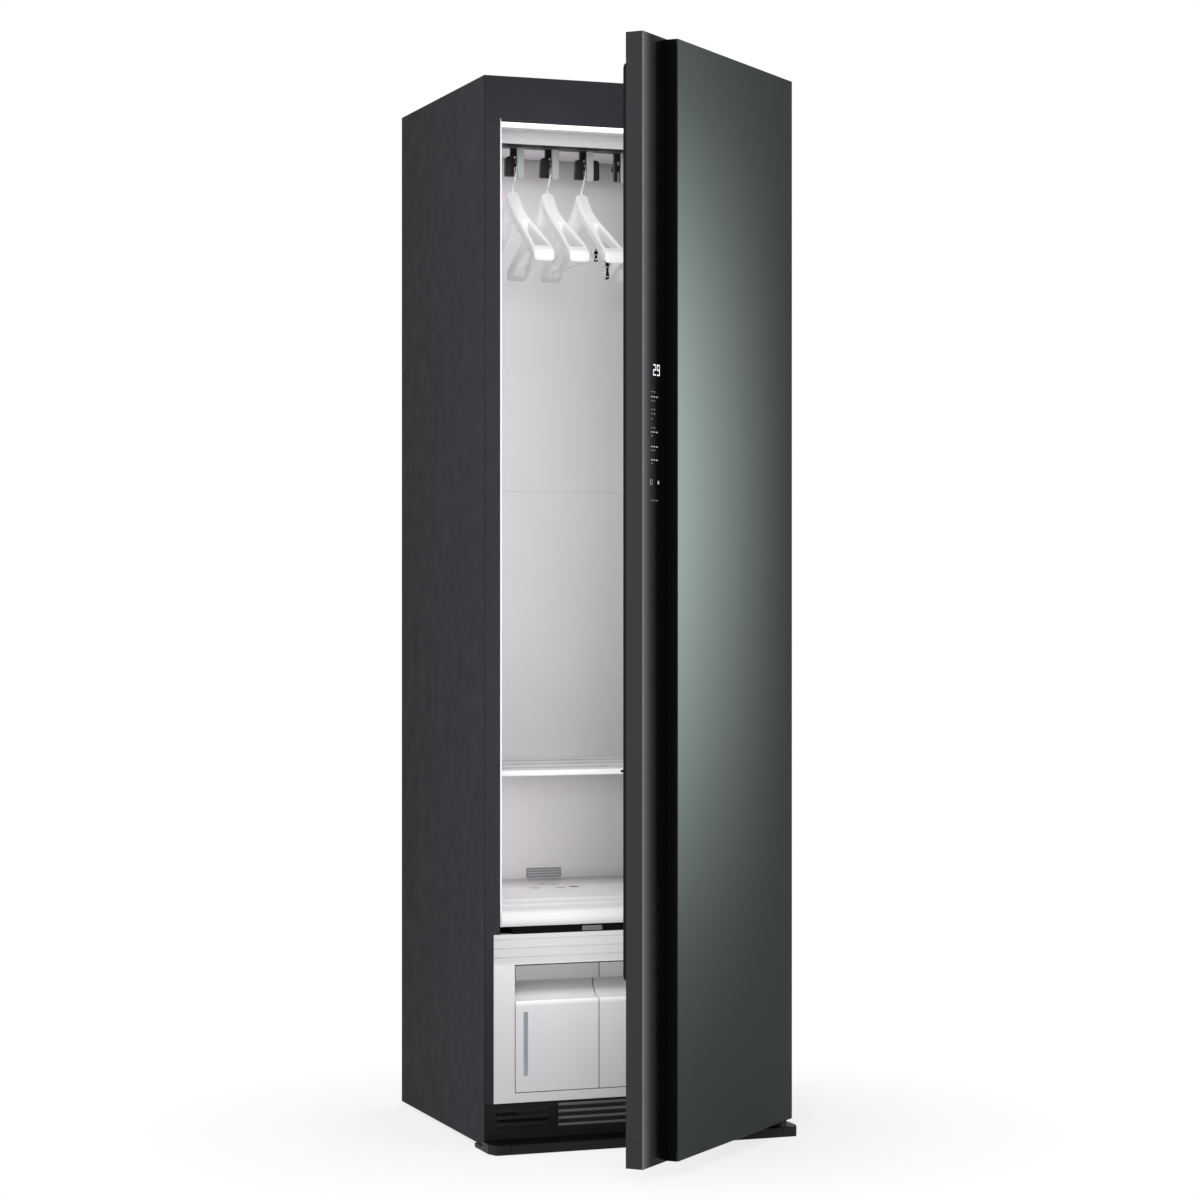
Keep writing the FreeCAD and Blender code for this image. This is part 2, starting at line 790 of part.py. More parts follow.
def lint_filter():
    rear = trim_wall + filter_depth
    frame = box(filter_left, filter_right, 0, rear, filter_bottom, filter_top)
    pane_width = (filter_right - filter_left - filter_rim * (filter_bars + 1)) / filter_bars
    tools = []
    for i in range(filter_bars):
        x0 = filter_left + filter_rim + i * (pane_width + filter_rim)
        tools.append(box(x0, x0 + pane_width, filter_rim, rear - filter_rim,
                         filter_bottom + filter_mesh_thickness, filter_top + 1))
    return cut(frame, tools)


# ---- machine space ----

def heat_exchanger():
    ends = [box(x, x + exchanger_plate, exchanger_front_y, exchanger_rear_y, pan_floor, exchanger_top)
            for x in (exchanger_left, exchanger_right - exchanger_plate)]
    fins = []
    x = exchanger_left + exchanger_fin_pitch
    while x < exchanger_right - exchanger_fin_pitch:
        fins.append(box(x, x + exchanger_fin, exchanger_front_y + exchanger_fin_inset,
                        exchanger_rear_y - exchanger_fin_inset, exchanger_bottom,
                        exchanger_top - exchanger_fin_top_gap))
        x += exchanger_fin_pitch
    tubes = []
    for j in range(exchanger_tube_columns):
        y = exchanger_front_y + exchanger_tube_margin + j * exchanger_tube_pitch_y
        for k in range(exchanger_tube_rows):
            z = exchanger_bottom + exchanger_tube_margin + k * exchanger_tube_pitch_z
            tubes.append(bar_x(pipe_radius, exchanger_left, exchanger_right, y, z))
    return join(ends + fins + tubes)


def steam_generator():
    top = pan_floor + boiler_height
    drum = cyl(boiler_radius, boiler_x, boiler_y, pan_floor + boiler_lift, top)
    flange_low = top - boiler_flange_drop
    flange = cyl(boiler_radius + boiler_flange_overhang, boiler_x, boiler_y,
                 flange_low, flange_low + boiler_flange_height)
    foot = box(boiler_x - boiler_foot_half, boiler_x + boiler_foot_half,
               boiler_y - boiler_foot_half, boiler_y + boiler_foot_half,
               pan_floor, pan_floor + boiler_foot_height)
    return join([drum, flange, foot])


def blower_housing():
    low = pan_floor + blower_lift
    top = pan_floor + blower_height
    duct_rear = blower_y + blower_duct_length
    outer = join([cyl(blower_radius, blower_x, blower_y, low, top),
                  box(blower_x - blower_radius, blower_x, blower_y, duct_rear, low, top)])
    inner_low = low + blower_wall
    inner_top = top - blower_wall
    inner = join([cyl(blower_radius - blower_wall, blower_x, blower_y, inner_low, inner_top),
                  box(blower_x - blower_radius + blower_wall, blower_x - blower_wall,
                      blower_y, duct_rear + overcut, inner_low, inner_top)])
    inlet = cyl(fan_radius - fan_inlet_lip, blower_x, blower_y, inner_top - overcut, top + overcut)
    motor = cyl(blower_motor_radius, blower_x, blower_y, pan_floor, low)
    bore = cyl(fan_shaft_radius + hinge_clearance, blower_x, blower_y,
               pan_floor + fan_shaft_start, inner_low + overcut)
    return cut(join([cut(outer, [inner, inlet]), motor]), bore)


def blower_fan():
    low = pan_floor + blower_lift + fan_floor_gap
    high = pan_floor + blower_height - fan_top_gap
    disc = cyl(fan_radius, blower_x, blower_y, low, low + fan_disc)
    hub = cyl(fan_hub_radius, blower_x, blower_y, low, low + fan_hub_height)
    shaft = cyl(fan_shaft_radius, blower_x, blower_y, pan_floor + fan_shaft_start + fit_gap, low + overcut)
    ring_low = high - fan_ring_height
    ring = cut(cyl(fan_radius, blower_x, blower_y, ring_low, high),
               cyl(fan_radius - fan_ring_width, blower_x, blower_y, ring_low - overcut, high + overcut))
    blade_outer = blower_x + fan_radius - fan_blade_half
    blades = []
    for i in range(fan_blades):
        blade = box(blade_outer - fan_blade_length, blade_outer,
                    blower_y - fan_blade_half, blower_y + fan_blade_half,
                    low + fan_disc / 2, high - fan_ring_height / 2)
        blade.rotate(V(blower_x, blower_y, 0), Z_AXIS, i * 360 / fan_blades)
        blades.append(blade)
    return join([disc, hub, shaft, ring] + blades)


def compressor():
    low = pan_floor + compressor_foot
    can = cyl(compressor_radius, compressor_x, compressor_y, low, low + compressor_height)
    rims = [edge for edge in can.Edges if edge.Curve.TypeId == "Part::GeomCircle"]
    can = can.makeFillet(compressor_dome, rims)
    base = box(compressor_x - compressor_plate_x, compressor_x + compressor_plate_x,
               compressor_y - compressor_plate_y, compressor_y + compressor_plate_y,
               low, low + compressor_plate)
    feet = []
    for dx in (-compressor_foot_x, compressor_foot_x):
        for dy in (-compressor_foot_y, compressor_foot_y):
            feet.append(cyl(compressor_foot_radius, compressor_x + dx, compressor_y + dy, pan_floor, low))
    return join([can, base] + feet)


def control_box():
    return box(control_left, control_right, control_front_y, control_rear_y,
               pan_floor, pan_floor + control_height)


def refrigerant_pipes():
    top = pan_floor + compressor_foot + compressor_height
    x = compressor_x - suction_offset
    y = exchanger_front_y + suction_reach
    high = top + suction_rise
    suction = [V(x, compressor_y, top), V(x, compressor_y, high), V(x, y, high), V(exchanger_right, y, high)]
    return tube(suction, pipe_radius, pipe_bend)


# ---- hinges and fasteners ----

def hinge_arm(z0, z1):
    """A flat arm from the pin back and inwards to a foot on the cabinet."""
    slant = math.tan(math.radians(hinge_arm_slant))
    root_x = pivot_x + pivot_y * slant
    w = hinge_arm_half_width
    web = profile_z([(pivot_x - w, pivot_y), (pivot_x + w, pivot_y), (root_x + 2 * w, 0), (root_x - 2 * w, 0)],
                    z0, z1)
    return join([cyl(w, pivot_x, pivot_y, z0, z1), web])


def hinge_bracket_top():
    z0 = cabinet_top
    z1 = cabinet_top + hinge_plate
    foot = box(pivot_x - hinge_foot_inner, pivot_x + hinge_foot_outer, 0, hinge_foot_depth, z0, z1)
    pin = cyl(hinge_pin_radius, pivot_x, pivot_y, z0 - hinge_pin_length, z0)
    return join([hinge_arm(z0, z1), foot, pin])


def hinge_bracket_bottom():
    z0 = plinth_top
    z1 = plinth_top + hinge_plate
    rear = kick_front_y + trim_wall
    left = pivot_x - lower_plate_half
    right = pivot_x + lower_plate_half
    plate = box(left, right, -lower_plate_front, rear, z0, z1)
    pad = profile_z([(left, -lower_plate_front), (right, -lower_plate_front),
                     (pivot_x + hinge_arm_half_width, pivot_y), (pivot_x - hinge_arm_half_width, pivot_y)],
                    z0, z1)
    nose = cyl(hinge_arm_half_width, pivot_x, pivot_y, z0, door_bottom - fit_gap)
    pin = cyl(hinge_pin_radius, pivot_x, pivot_y, z1, door_bottom + hinge_pin_length)
    return join([plate, pad, nose, pin])


def hinge_cover():
    z0 = cabinet_top
    z1 = cabinet_top + hinge_cover_height
    left = pivot_x - hinge_foot_inner - hinge_cover_margin
    right = pivot_x + hinge_foot_outer + hinge_cover_margin
    rear = hinge_foot_depth + hinge_cover_margin
    wall = hinge_cover_wall
    outer = box(left, right, hinge_cover_front, rear, z0, z1)
    inner = box(left + wall, right - wall, 0, rear - wall, z0 - overcut, z1 - wall)
    return cut(outer, inner)


def cabinet_screws():
    heads = []
    z = cabinet_top + hinge_plate
    for dx, y in hinge_screws:
        heads.append(cyl(screw_head_radius, pivot_x + dx, y, z, z + screw_head_height))
    for x in (back_screw_inset - inner_half, inner_half - back_screw_inset):
        for row in range(back_screw_rows):
            height = back_screw_low + row * back_screw_pitch
            heads.append(bar_y(screw_head_radius, x, cabinet_depth, cabinet_depth + screw_head_height, height))
    low = plinth_top + hinge_plate
    for dx in (-lower_screw_offset, lower_screw_offset):
        heads.append(cyl(screw_head_radius, pivot_x + dx, lower_screw_y, low, low + lower_screw_height))
    return Part.makeCompound(heads)


# ---- moving hanger ----

def hanger_rail():
    """A channel open below: apron, walls, top plate and the two lips that carry the sliding bar."""
    def run(y0, y1, z0, z1):
        return box(-rail_half_length, rail_half_length, y0, y1, z0, z1)

    head_front = bar_front_y - bar_head_overlap - rail_play
    head_rear = bar_rear_y + bar_head_overlap + rail_play
    walls = [run(rail_front_y, rail_front_y + rail_apron, rail_bottom, ceiling_z),
             run(rail_front_y, head_rear + rail_wall, ceiling_z - rail_top_plate, ceiling_z),
             run(head_front - rail_wall, head_front, rail_bottom, ceiling_z),
             run(head_rear, head_rear + rail_wall, lip_bottom, ceiling_z),
             run(head_front - rail_wall, bar_front_y - rail_play, lip_bottom, lip_top),
             run(bar_rear_y + rail_play, head_rear + rail_wall, lip_bottom, lip_top),
             run(rail_front_y, head_front, rail_bottom, rail_bottom + rail_underside)]
    window = box(crank_x - crank_window_x, crank_x + crank_window_x, head_front + rail_play,
                 head_rear - rail_play, ceiling_z - rail_top_plate - overcut, ceiling_z + overcut)
    return cut(join(walls), window)


def hanger_bar():
    neck = box(-bar_half_length, bar_half_length, bar_front_y, bar_rear_y, bar_bottom, lip_top + fit_gap)
    head = box(-bar_half_length, bar_half_length, bar_front_y - bar_head_overlap,
               bar_rear_y + bar_head_overlap, lip_top + fit_gap, bar_head_top)
    yoke_low = yoke_top - yoke_plate
    post = box(crank_x - drive_post_x, crank_x + drive_post_x, crank_y - drive_post_y, crank_y + drive_post_y,
               bar_head_top, yoke_low)
    plate = box(crank_x - yoke_half_x, crank_x + yoke_half_x, crank_y - yoke_half_y, crank_y + yoke_half_y,
                yoke_low, yoke_top)
    slot = box(crank_x - crank_pin_radius - fit_gap, crank_x + crank_pin_radius + fit_gap,
               crank_y - yoke_slot_half_y, crank_y + yoke_slot_half_y,
               yoke_top - yoke_plate / 2, yoke_top + overcut)
    return join([neck, head, post, cut(plate, slot)])


def round_corners(solid, radius, height):
    """Round the edges of a block that run front to back at the given height."""
    edges = []
    for edge in solid.Edges:
        first, last = edge.Vertexes[0], edge.Vertexes[-1]
        level = abs(first.Z - height) < tiny and abs(last.Z - height) < tiny
        if level and abs(first.X - last.X) < tiny:
            edges.append(edge)
    return solid.makeFillet(radius, edges)


def holder_arm(x):
    left = x - arm_half_width
    right = x + arm_half_width
    foot = box(left, right, bar_rear_y, arm_rear_y, bar_bottom, lip_bottom - fit_gap)
    blade = round_corners(box(left, right, arm_front_y, arm_rear_y, arm_bottom, arm_foot_bottom),
                          arm_corner, arm_bottom)
    slot = box(x - arm_slot_half_width, x + arm_slot_half_width, arm_front_y - overcut, arm_rear_y + overcut,
               arm_bottom - overcut, arm_slot_top)
    peg = bar_x(peg_radius, left, right, peg_y, peg_z)
    neck = box(left, right, arm_rear_y, peg_y, peg_z - peg_neck_low, peg_z + peg_neck_high)
    return join([cut(join([foot, blade]), slot), neck, peg])


def hook_guard(x, side):
    """The rounded pad beside a hook, tied to the arm behind it by a web."""
    pad = box(x + guard_near, x + guard_outer, guard_front_y, guard_rear_y, guard_bottom, guard_top)
    web = box(x + arm_half_width - guard_web_reach, x + guard_near + guard_web_reach, guard_rear_y, arm_front_y,
              guard_bottom + guard_web_low, guard_top - guard_web_high)
    solid = join([round_corners(pad, guard_corner, guard_top), web])
    if side < 0:
        solid = solid.mirror(V(x, 0, 0), X_AXIS)
    return solid


def holder_arms():
    pieces = []
    for i, x in enumerate(holder_xs):
        guards = [hook_guard(x, side) for side in guard_sides.get(i, ())]
        pieces.append(join([holder_arm(x)] + guards))
    return Part.makeCompound(pieces)


def holder_straps():
    straps = []
    for x in holder_xs:
        strap = box(x - strap_half_width, x + strap_half_width, strap_front_y, strap_front_y + strap_thickness,
                    strap_bottom, bar_bottom)
        straps.append(round_corners(strap, strap_corner, strap_bottom))
    return Part.makeCompound(straps)


def hanger_hook(x):
    """A wire hook in the Y-Z plane: an arc over the peg, then a slanted run down to the neck."""
    centre_z = peg_z + peg_radius + fit_gap + hook_wire_radius - hook_radius
    start = math.radians(hook_start_angle)
    end = math.radians(hook_end_angle)

    def at(angle):
        return V(x, peg_y + hook_radius * math.cos(angle), centre_z + hook_radius * math.sin(angle))

    tangent = V(0, -math.sin(end), math.cos(end))
    run_end = at(end) + tangent * hook_run
    arc = Part.Arc(at(start), at((start + end) / 2), at(end)).toShape()
    run = Part.LineSegment(at(end), run_end).toShape()
    start_tangent = V(0, -math.sin(start), math.cos(start))
    ring = Part.Wire([Part.makeCircle(hook_wire_radius, at(start), start_tangent)])
    wire = Part.Wire([arc, run]).makePipeShell([ring], True, False)
    neck_top = V(x, peg_y, hook_neck_z)
    link = neck_top - run_end
    slanted = Part.makeCylinder(hook_wire_radius, link.Length, run_end, link)
    stem = cyl(hook_wire_radius, x, peg_y, hanger_neck_top, hook_neck_z)
    return join([wire, slanted, stem, Part.makeSphere(hook_wire_radius, run_end),
                 Part.makeSphere(hook_wire_radius, neck_top)])


def hanger_section(x, y, z, half_width, half_height):
    """A closed rounded rectangle across the arm, in the X-Z plane at y."""
    r = hanger_corner
    quarters = []
    for i, (side, rise) in enumerate(((1, 1), (-1, 1), (-1, -1), (1, -1))):
        centre = V(x + side * (half_width - r), y, z + rise * (half_height - r))
        angles = [math.pi / 4 * (2 * i + k) for k in range(3)]
        quarters.append([centre + V(math.cos(a), 0, math.sin(a)) * r for a in angles])
    edges = []
    for quarter, following in zip(quarters, quarters[1:] + quarters[:1]):
        edges.append(Part.Arc(*quarter).toShape())
        edges.append(Part.LineSegment(quarter[2], following[0]).toShape())
    return Part.Wire(edges)


def hanger_arm(x, side):
    crown_z = hanger_neck_top - hanger_heights[0] / 2
    sections = []
    for reach, drop, half_width, height in zip(hanger_stations, hanger_drops,
                                               hanger_half_widths, hanger_heights):
        sections.append(hanger_section(x, peg_y + side * reach, crown_z - drop, half_width, height / 2))
    return Part.makeLoft(sections, True, False)


def hanger_body(x):
    """Two lofted arms with a slot through each that widens towards the tip."""
    low = hanger_neck_top - hanger_drops[-1] - 2 * hanger_heights[0]
    slots = []
    for side in (-1, 1):
        outline = [(x + w, peg_y + side * reach)
                   for reach, w in zip(hanger_slot_stations, hanger_slot_half_widths)]
        outline += [(x - w, peg_y + side * reach)
                    for reach, w in reversed(list(zip(hanger_slot_stations, hanger_slot_half_widths)))]
        slots.append(profile_z(outline, low, hanger_neck_top))
    return cut(join([hanger_arm(x, -1), hanger_arm(x, 1)]), slots)


def trouser_clips():
    x = holder_xs[2]
    parts = [bar_y(clip_bar_radius, x, peg_y - clip_bar_half_length, peg_y + clip_bar_half_length, clip_bar_z)]
    for front, rear, low, high in clip_places:
        parts.append(box(x - clip_width / 2, x + clip_width / 2, peg_y + front, peg_y + rear,
                         clip_bar_z + low, clip_bar_z + high))
    return join(parts)


def crank_disc():
    low = crank_disc_bottom
    top = low + crank_disc_thickness
    disc = cyl(crank_disc_radius, crank_x, crank_y, low, top)
    pin = cyl(crank_pin_radius, crank_x, crank_y + crank_radius, yoke_top + fit_gap, low)
    shaft = cyl(motor_shaft_radius, crank_x, crank_y, top, motor_plate_z + motor_shaft_reach)
    return join([disc, pin, shaft])


def shaker_motor():
    plate_top = motor_plate_z + motor_plate
    inner = motor_post_offset - motor_post / 2
    outer = motor_post_offset + motor_post / 2
    plate = box(crank_x - outer, crank_x + outer, crank_y - outer, crank_y + outer, motor_plate_z, plate_top)
    can = cyl(motor_radius, crank_x, crank_y, plate_top, motor_plate_z + motor_height)
    posts = []
    for x0, x1 in ((-outer, -inner), (inner, outer)):
        for y0, y1 in ((-outer, -inner), (inner, outer)):
            posts.append(box(crank_x + x0, crank_x + x1, crank_y + y0, crank_y + y1,
                             ceiling_z + liner_wall, motor_plate_z))
    bore = cyl(motor_shaft_radius + hinge_clearance, crank_x, crank_y,
               motor_plate_z - overcut, motor_plate_z + motor_shaft_reach + fit_gap)
    return cut(join([plate, can] + posts), bore)


# ---- door, drawn closed and then opened ----

def hinge_edge_relief(low, high):
    """The wedge cut off the door's rear hinge edge, so that it clears the cabinet as it turns."""
    c = door_hinge_chamfer
    return profile_z([(door_half + 1, door_back_y - c - 1), (door_half + 1, door_back_y + 1),
                      (door_half - c - 1, door_back_y + 1)], low, high)


def door_frame():
    low = door_bottom + door_cap_height
    high = door_top - door_cap_height
    outer = box(-door_half, door_half, strip_back_y, door_back_y, low, high)
    inner = box(-door_half + door_skin, door_half - door_skin, strip_back_y + door_skin, door_back_y + 1,
                low + door_skin, high - door_skin)
    board_recess = box(-door_half + board_side, panel_left - board_end, strip_back_y - overcut,
                       strip_back_y + board_thickness + board_clearance, display_low, display_high)
    return cut(outer, [inner, board_recess, hinge_edge_relief(low - overcut, high + overcut)])


def door_cap(top):
    low = door_top - door_cap_height if top else door_bottom
    high = low + door_cap_height
    body = box(-door_half, door_half, strip_back_y, door_back_y, low, high)
    lug = box(hinge_notch_x, door_half - tray_skin, glass_back_y, strip_back_y, low, high)
    solid = join([body, lug])
    relief = hinge_edge_relief(low - 1, high + 1)
    pin = hinge_pin_radius + hinge_clearance
    if top:
        floor = cabinet_top - hinge_notch_clearance
        notch = box(hinge_notch_x, door_half + 1, glass_back_y - 1, door_back_y + 1, floor, high + 1)
        bore = cyl(pin, pivot_x, pivot_y, cabinet_top - hinge_pin_length - 1, high + 1)
        return cut(solid, [notch, bore, relief])
    bore = cyl(pin, pivot_x, pivot_y, low - overcut, low + hinge_pin_length + overcut)
    return cut(solid, [bore, relief])


def door_panel_tray():
    outer = box(panel_left, door_half, glass_back_y, strip_back_y, door_bottom, door_top)
    inner = box(panel_left + tray_skin, door_half - tray_skin, glass_back_y + tray_skin, strip_back_y + 1,
                door_bottom + tray_skin, door_top - tray_skin)
    corner_low = box(hinge_notch_x, door_half - tray_skin, glass_back_y - 1, strip_back_y + 1,
                     door_bottom - 1, door_bottom + door_cap_height)
    corner_high = box(hinge_notch_x, door_half + 1, glass_back_y - 1, strip_back_y + 1,
                      door_top - door_cap_height, door_top + 1)
    return cut(outer, [inner, corner_low, corner_high])


def door_glass():
    return box(panel_left, door_half, panel_front_y, glass_back_y, door_bottom, door_top)


def display_strip():
    return box(-door_half, panel_left, door_front_y, strip_back_y, door_bottom, door_top)


def display_board():
    left = display_edge + board_side - door_half
    right = panel_left - board_end - display_edge
    return box(left, right, strip_back_y, strip_back_y + board_thickness,
               display_low + display_edge, display_high - display_edge)


def door_liner():
    wall = door_pan_wall
    low = door_bottom + door_cap_height
    high = door_top - door_cap_height
    plate = box(-door_half + door_skin, door_half - door_skin, door_back_y - wall, door_back_y,
                low + door_skin, high - door_skin)
    side = door_half - door_pan_side
    dish_front = door_back_y - door_pan_depth
    dish_low = low + door_pan_low
    dish_high = high - door_pan_high
    dish = box(-side, side, dish_front, door_back_y - fit_gap, dish_low, dish_high)
    hollow = box(wall - side, side - wall, dish_front + wall, door_back_y + overcut,
                 dish_low + wall, dish_high - wall)
    return cut(join([plate, dish]), [hollow, hinge_edge_relief(low, high)])


def door_gasket():
    x0 = -door_half + gasket_inset
    x1 = door_half - gasket_hinge_inset
    outer = box(x0, x1, door_back_y, -fit_gap, gasket_low, gasket_high)
    inner = box(x0 + gasket_width, x1 - gasket_width, door_back_y - 1, 1,
                gasket_low + gasket_width, gasket_high - gasket_width)
    return cut(outer, inner)


def build_all():
    nodes = {
        "side_panel_left": side_panel(),
        "side_panel_right": mirror_x(side_panel()),
        "top_panel": top_panel(),
        "back_panel": back_panel(),
        "base_pan": base_pan(),
        "levelling_feet": levelling_feet(),
        "header": header(),
        "stile_left": stile(),
        "stile_right": mirror_x(stile()),
        "kick_plate": kick_plate(),
        "plinth_bar": plinth_bar(),
        "plinth_end_caps": plinth_end_caps(),
        "chamber_liner": chamber_liner(),
        "liner_back_wall": liner_back_wall(),
        "chamber_floor": chamber_floor(),
        "light_lens": light_lens(),
        "steam_outlet": steam_outlet(),
        "lower_fascia": lower_fascia(),
        "tank_bay": tank_bay(),
        "heat_exchanger": heat_exchanger(),
        "steam_generator": steam_generator(),
        "blower_housing": blower_housing(),
        "compressor": compressor(),
        "control_box": control_box(),
        "refrigerant_pipes": refrigerant_pipes(),
        "hinge_bracket_top": hinge_bracket_top(),
        "hinge_bracket_bottom": hinge_bracket_bottom(),
        "hinge_cover": hinge_cover(),
        "cabinet_screws": cabinet_screws(),
        "hanger_rail": hanger_rail(),
        "shaker_motor": shaker_motor(),
        "crank_disc": crank_disc(),
        "blower_fan": blower_fan(),
        "hanger_bar": hanger_bar(),
        "holder_arms": holder_arms(),
        "holder_straps": holder_straps(),
        "trouser_clips": trouser_clips(),
        "supply_tank": tank_body(0),
        "supply_tank_lid": tank_lid(0),
        "drain_tank": tank_body(1),
        "drain_tank_lid": tank_lid(1),
        "shelf": shelf(),
        "lint_filter": lint_filter(),
    }
    for number, slot in enumerate(hanger_slots, 1):
        nodes["hanger_%d" % number] = hanger_body(holder_xs[slot])
        nodes["hanger_%d_hook" % number] = hanger_hook(holder_xs[slot])
    door = {
        "door_frame": door_frame(),
        "door_cap_top": door_cap(True),
        "door_cap_bottom": door_cap(False),
        "door_panel_tray": door_panel_tray(),
        "door_glass": door_glass(),
        "display_strip": display_strip(),
        "display_board": display_board(),
        "door_liner": door_liner(),
        "door_gasket": door_gasket(),
    }
    for name, shape in door.items():
        nodes[name] = open_door(shape)
    return nodes


os.makedirs("parts", exist_ok=True)
for node_name, node_shape in build_all().items():
    if not node_shape.isValid():
        print("not valid:", node_name)
    node_shape.exportStep("parts/%s.step" % node_name)
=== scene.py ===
import json
import math

import bmesh
import bpy
import numpy as np
from bpy.props import FloatProperty, FloatVectorProperty, IntProperty, PointerProperty
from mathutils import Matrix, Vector


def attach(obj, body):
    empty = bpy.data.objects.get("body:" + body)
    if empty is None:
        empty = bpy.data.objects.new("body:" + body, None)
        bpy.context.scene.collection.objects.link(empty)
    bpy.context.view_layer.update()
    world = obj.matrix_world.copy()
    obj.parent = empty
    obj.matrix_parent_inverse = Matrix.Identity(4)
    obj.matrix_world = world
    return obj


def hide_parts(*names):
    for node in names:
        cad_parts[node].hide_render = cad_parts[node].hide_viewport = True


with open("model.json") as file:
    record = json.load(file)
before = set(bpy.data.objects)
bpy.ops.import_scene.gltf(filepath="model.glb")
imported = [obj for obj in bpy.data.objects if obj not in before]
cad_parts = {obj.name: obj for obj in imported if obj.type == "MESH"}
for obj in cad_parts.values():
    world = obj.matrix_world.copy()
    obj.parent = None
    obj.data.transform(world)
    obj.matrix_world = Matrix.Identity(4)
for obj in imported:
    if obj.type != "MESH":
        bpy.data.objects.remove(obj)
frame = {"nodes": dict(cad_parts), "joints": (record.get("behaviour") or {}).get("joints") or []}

bl_info = {
    "name": "Clothes Care Cabinet",
    "version": (1, 0, 0),
    "blender": (4, 5, 0),
    "location": "View3D > Sidebar > Cabinet",
    "description": "Dresses a clothes care steam cabinet piece by piece",
    "category": "Object",
}

# All lengths are metres in the cabinet's own frame: X to the right, Y to the back, Z up, with the
# origin on the floor in the middle of the cabinet's front plane.
MM = 0.001

HINGE = next(joint for joint in frame["joints"] if joint["name"] == "door_hinge")
DOOR_ANGLE = math.radians(-HINGE["range_deg"][0])
PIVOT = np.array(HINGE["pos_m"])

# Where the tints change, most of them painted light and shade. X of the strip's free edge and of the
# glass's painted reflection from the hinge, with the door shut; the painted reflection's strength at
# shares of the glass's height; the grip's lower edge, where its painted highlight and painted shade
# begin; the middles of the shelf's bands of painted shade; X and Z where the lining's painted light
# and the hangers' painted shade leave and reach their second tint.
STRIP_EDGE = -0.5585
REFLECTION_REACH = (-0.47, 0.05)
REFLECTION_HEIGHTS = ((0.0, 0.04), (0.12, 0.07), (0.26, 0.26), (0.46, 0.90), (0.62, 1.0), (0.76, 0.78),
                 (0.90, 0.30), (1.0, 0.14))
GRIP_LOW = 0.2590
SHELF_SHADE_BANDS = (0.165, 0.285, 0.400)
LINING_LIGHT_SPAN = (0.12, -0.13)
HANGER_SHADE_SPAN = (1.70, 1.61)

# Left and front edges of the marks pressed into the chamber's floor; 1 for the dark one.
VENTS = ((-0.112, 0.278, 0), (-0.072, 0.350, 0), (-0.052, 0.343, 0), (-0.062, 0.270, 0), (-0.032, 0.280, 1))

# The joints on which the hangers swing, from the left.
HANGERS = [joint for joint in frame["joints"]
           if joint["name"].startswith("hanger_") and joint["type"] == "hinge"]


# ---- settings ----

def length(label, text, default):
    return FloatProperty(name=label, description=text, default=default, unit="LENGTH", precision=4)


def colour(label, text, default):
    return FloatVectorProperty(name=label, description=text, default=default, subtype="COLOR",
                               size=3, min=0.0, max=1.0)


def level(label, text, default):
    return FloatProperty(name=label, description=text, default=default, min=0.0)


class CasingSettings(bpy.types.PropertyGroup):
    paint: colour("Paint", "Satin paint of the sheet casing", (0.026, 0.0255, 0.031))
    trim: colour("Trim", "Black moulded trim and feet", (0.012, 0.012, 0.013))
    zinc: colour("Zinc", "Zinc coated sheet of the back and the base", (0.36, 0.37, 0.38))
    fold: length("Fold radius", "Outer radius of a folded sheet edge", 0.7 * MM)
    bead: length("Bead depth", "Depth of the stiffening beads in the back sheet", 1.2 * MM)


class ChamberSettings(bpy.types.PropertyGroup):
    lining: colour("Lining", "Warm white moulded lining", (0.63, 0.615, 0.63))
    corner: length("Corner radius", "Upright inner corners of the chamber", 22 * MM)
    wall: length("Wall", "Thickness of the lining", 2.6 * MM)
    lamp: level("Lamp", "Brightness of the light bar", 1.15)
    slats: IntProperty(name="Slats", description="Slats of the shelf", default=12, min=2)


class HangerSettings(bpy.types.PropertyGroup):
    plastic: colour("Plastic", "White of the hangers", (0.95, 0.95, 0.955))
    strap: colour("Strap", "Grey of the holder straps", (0.42, 0.43, 0.44))
    black: colour("Black", "Black of the holders and their bar", (0.018, 0.017, 0.018))
    silver: colour("Silver", "Brushed apron of the rail", (0.58, 0.58, 0.585))
    wire: length("Hook wire", "Radius of the hook wire", 1.9 * MM)


class LowerFrontSettings(bpy.types.PropertyGroup):
    white: colour("White", "Warm white of the fascia and the tanks", (0.68, 0.67, 0.68))
    lid: colour("Lid", "Grey of the tank lids", (0.30, 0.30, 0.31))
    window: colour("Window", "Smoky window in the supply tank", (0.28, 0.33, 0.36))
    groove: length("Groove depth", "Depth of the fine lines across the fascia", 1.0 * MM)
    edge: length("Edge radius", "Rounding of the moulded edges", 0.8 * MM)


class DoorSettings(bpy.types.PropertyGroup):
    frame: colour("Frame", "Dark satin frame", (0.036, 0.034, 0.038))
    glass: colour("Glass", "Deep green of the glass", (0.011, 0.016, 0.012))
    # The second colour of the glass is that of the reflection painted into it.
    reflection_tint: colour("Sheen", "Pale metallic bloom of the glass", (0.33, 0.395, 0.375))
    black: colour("Strip", "Gloss black of the control strip", (0.0025, 0.0025, 0.003))
    digits: IntProperty(name="Minutes", description="Number on the display", default=29, min=0, max=99)
    edge: length("Edge radius", "Rounding of the glass and strip edges", 0.8 * MM)


class StageSettings(bpy.types.PropertyGroup):
    key: level("Key light", "Power of the large front light", 95.0)
    side: level("Side light", "Power of the left light", 60.0)
    fill: level("Fill light", "Power of the right light", 50.0)
    inner: level("Chamber light", "Power of the light into the chamber", 1.6)
    sky: level("Sky", "Even light from all round", 0.55)
    lens: FloatProperty(name="Lens", description="Focal length", default=92.685, unit="CAMERA")


SETTINGS = (("casing", CasingSettings), ("chamber", ChamberSettings), ("hangers", HangerSettings),
            ("lower_front", LowerFrontSettings), ("door", DoorSettings), ("stage", StageSettings))


# ---- places read from the frame ----

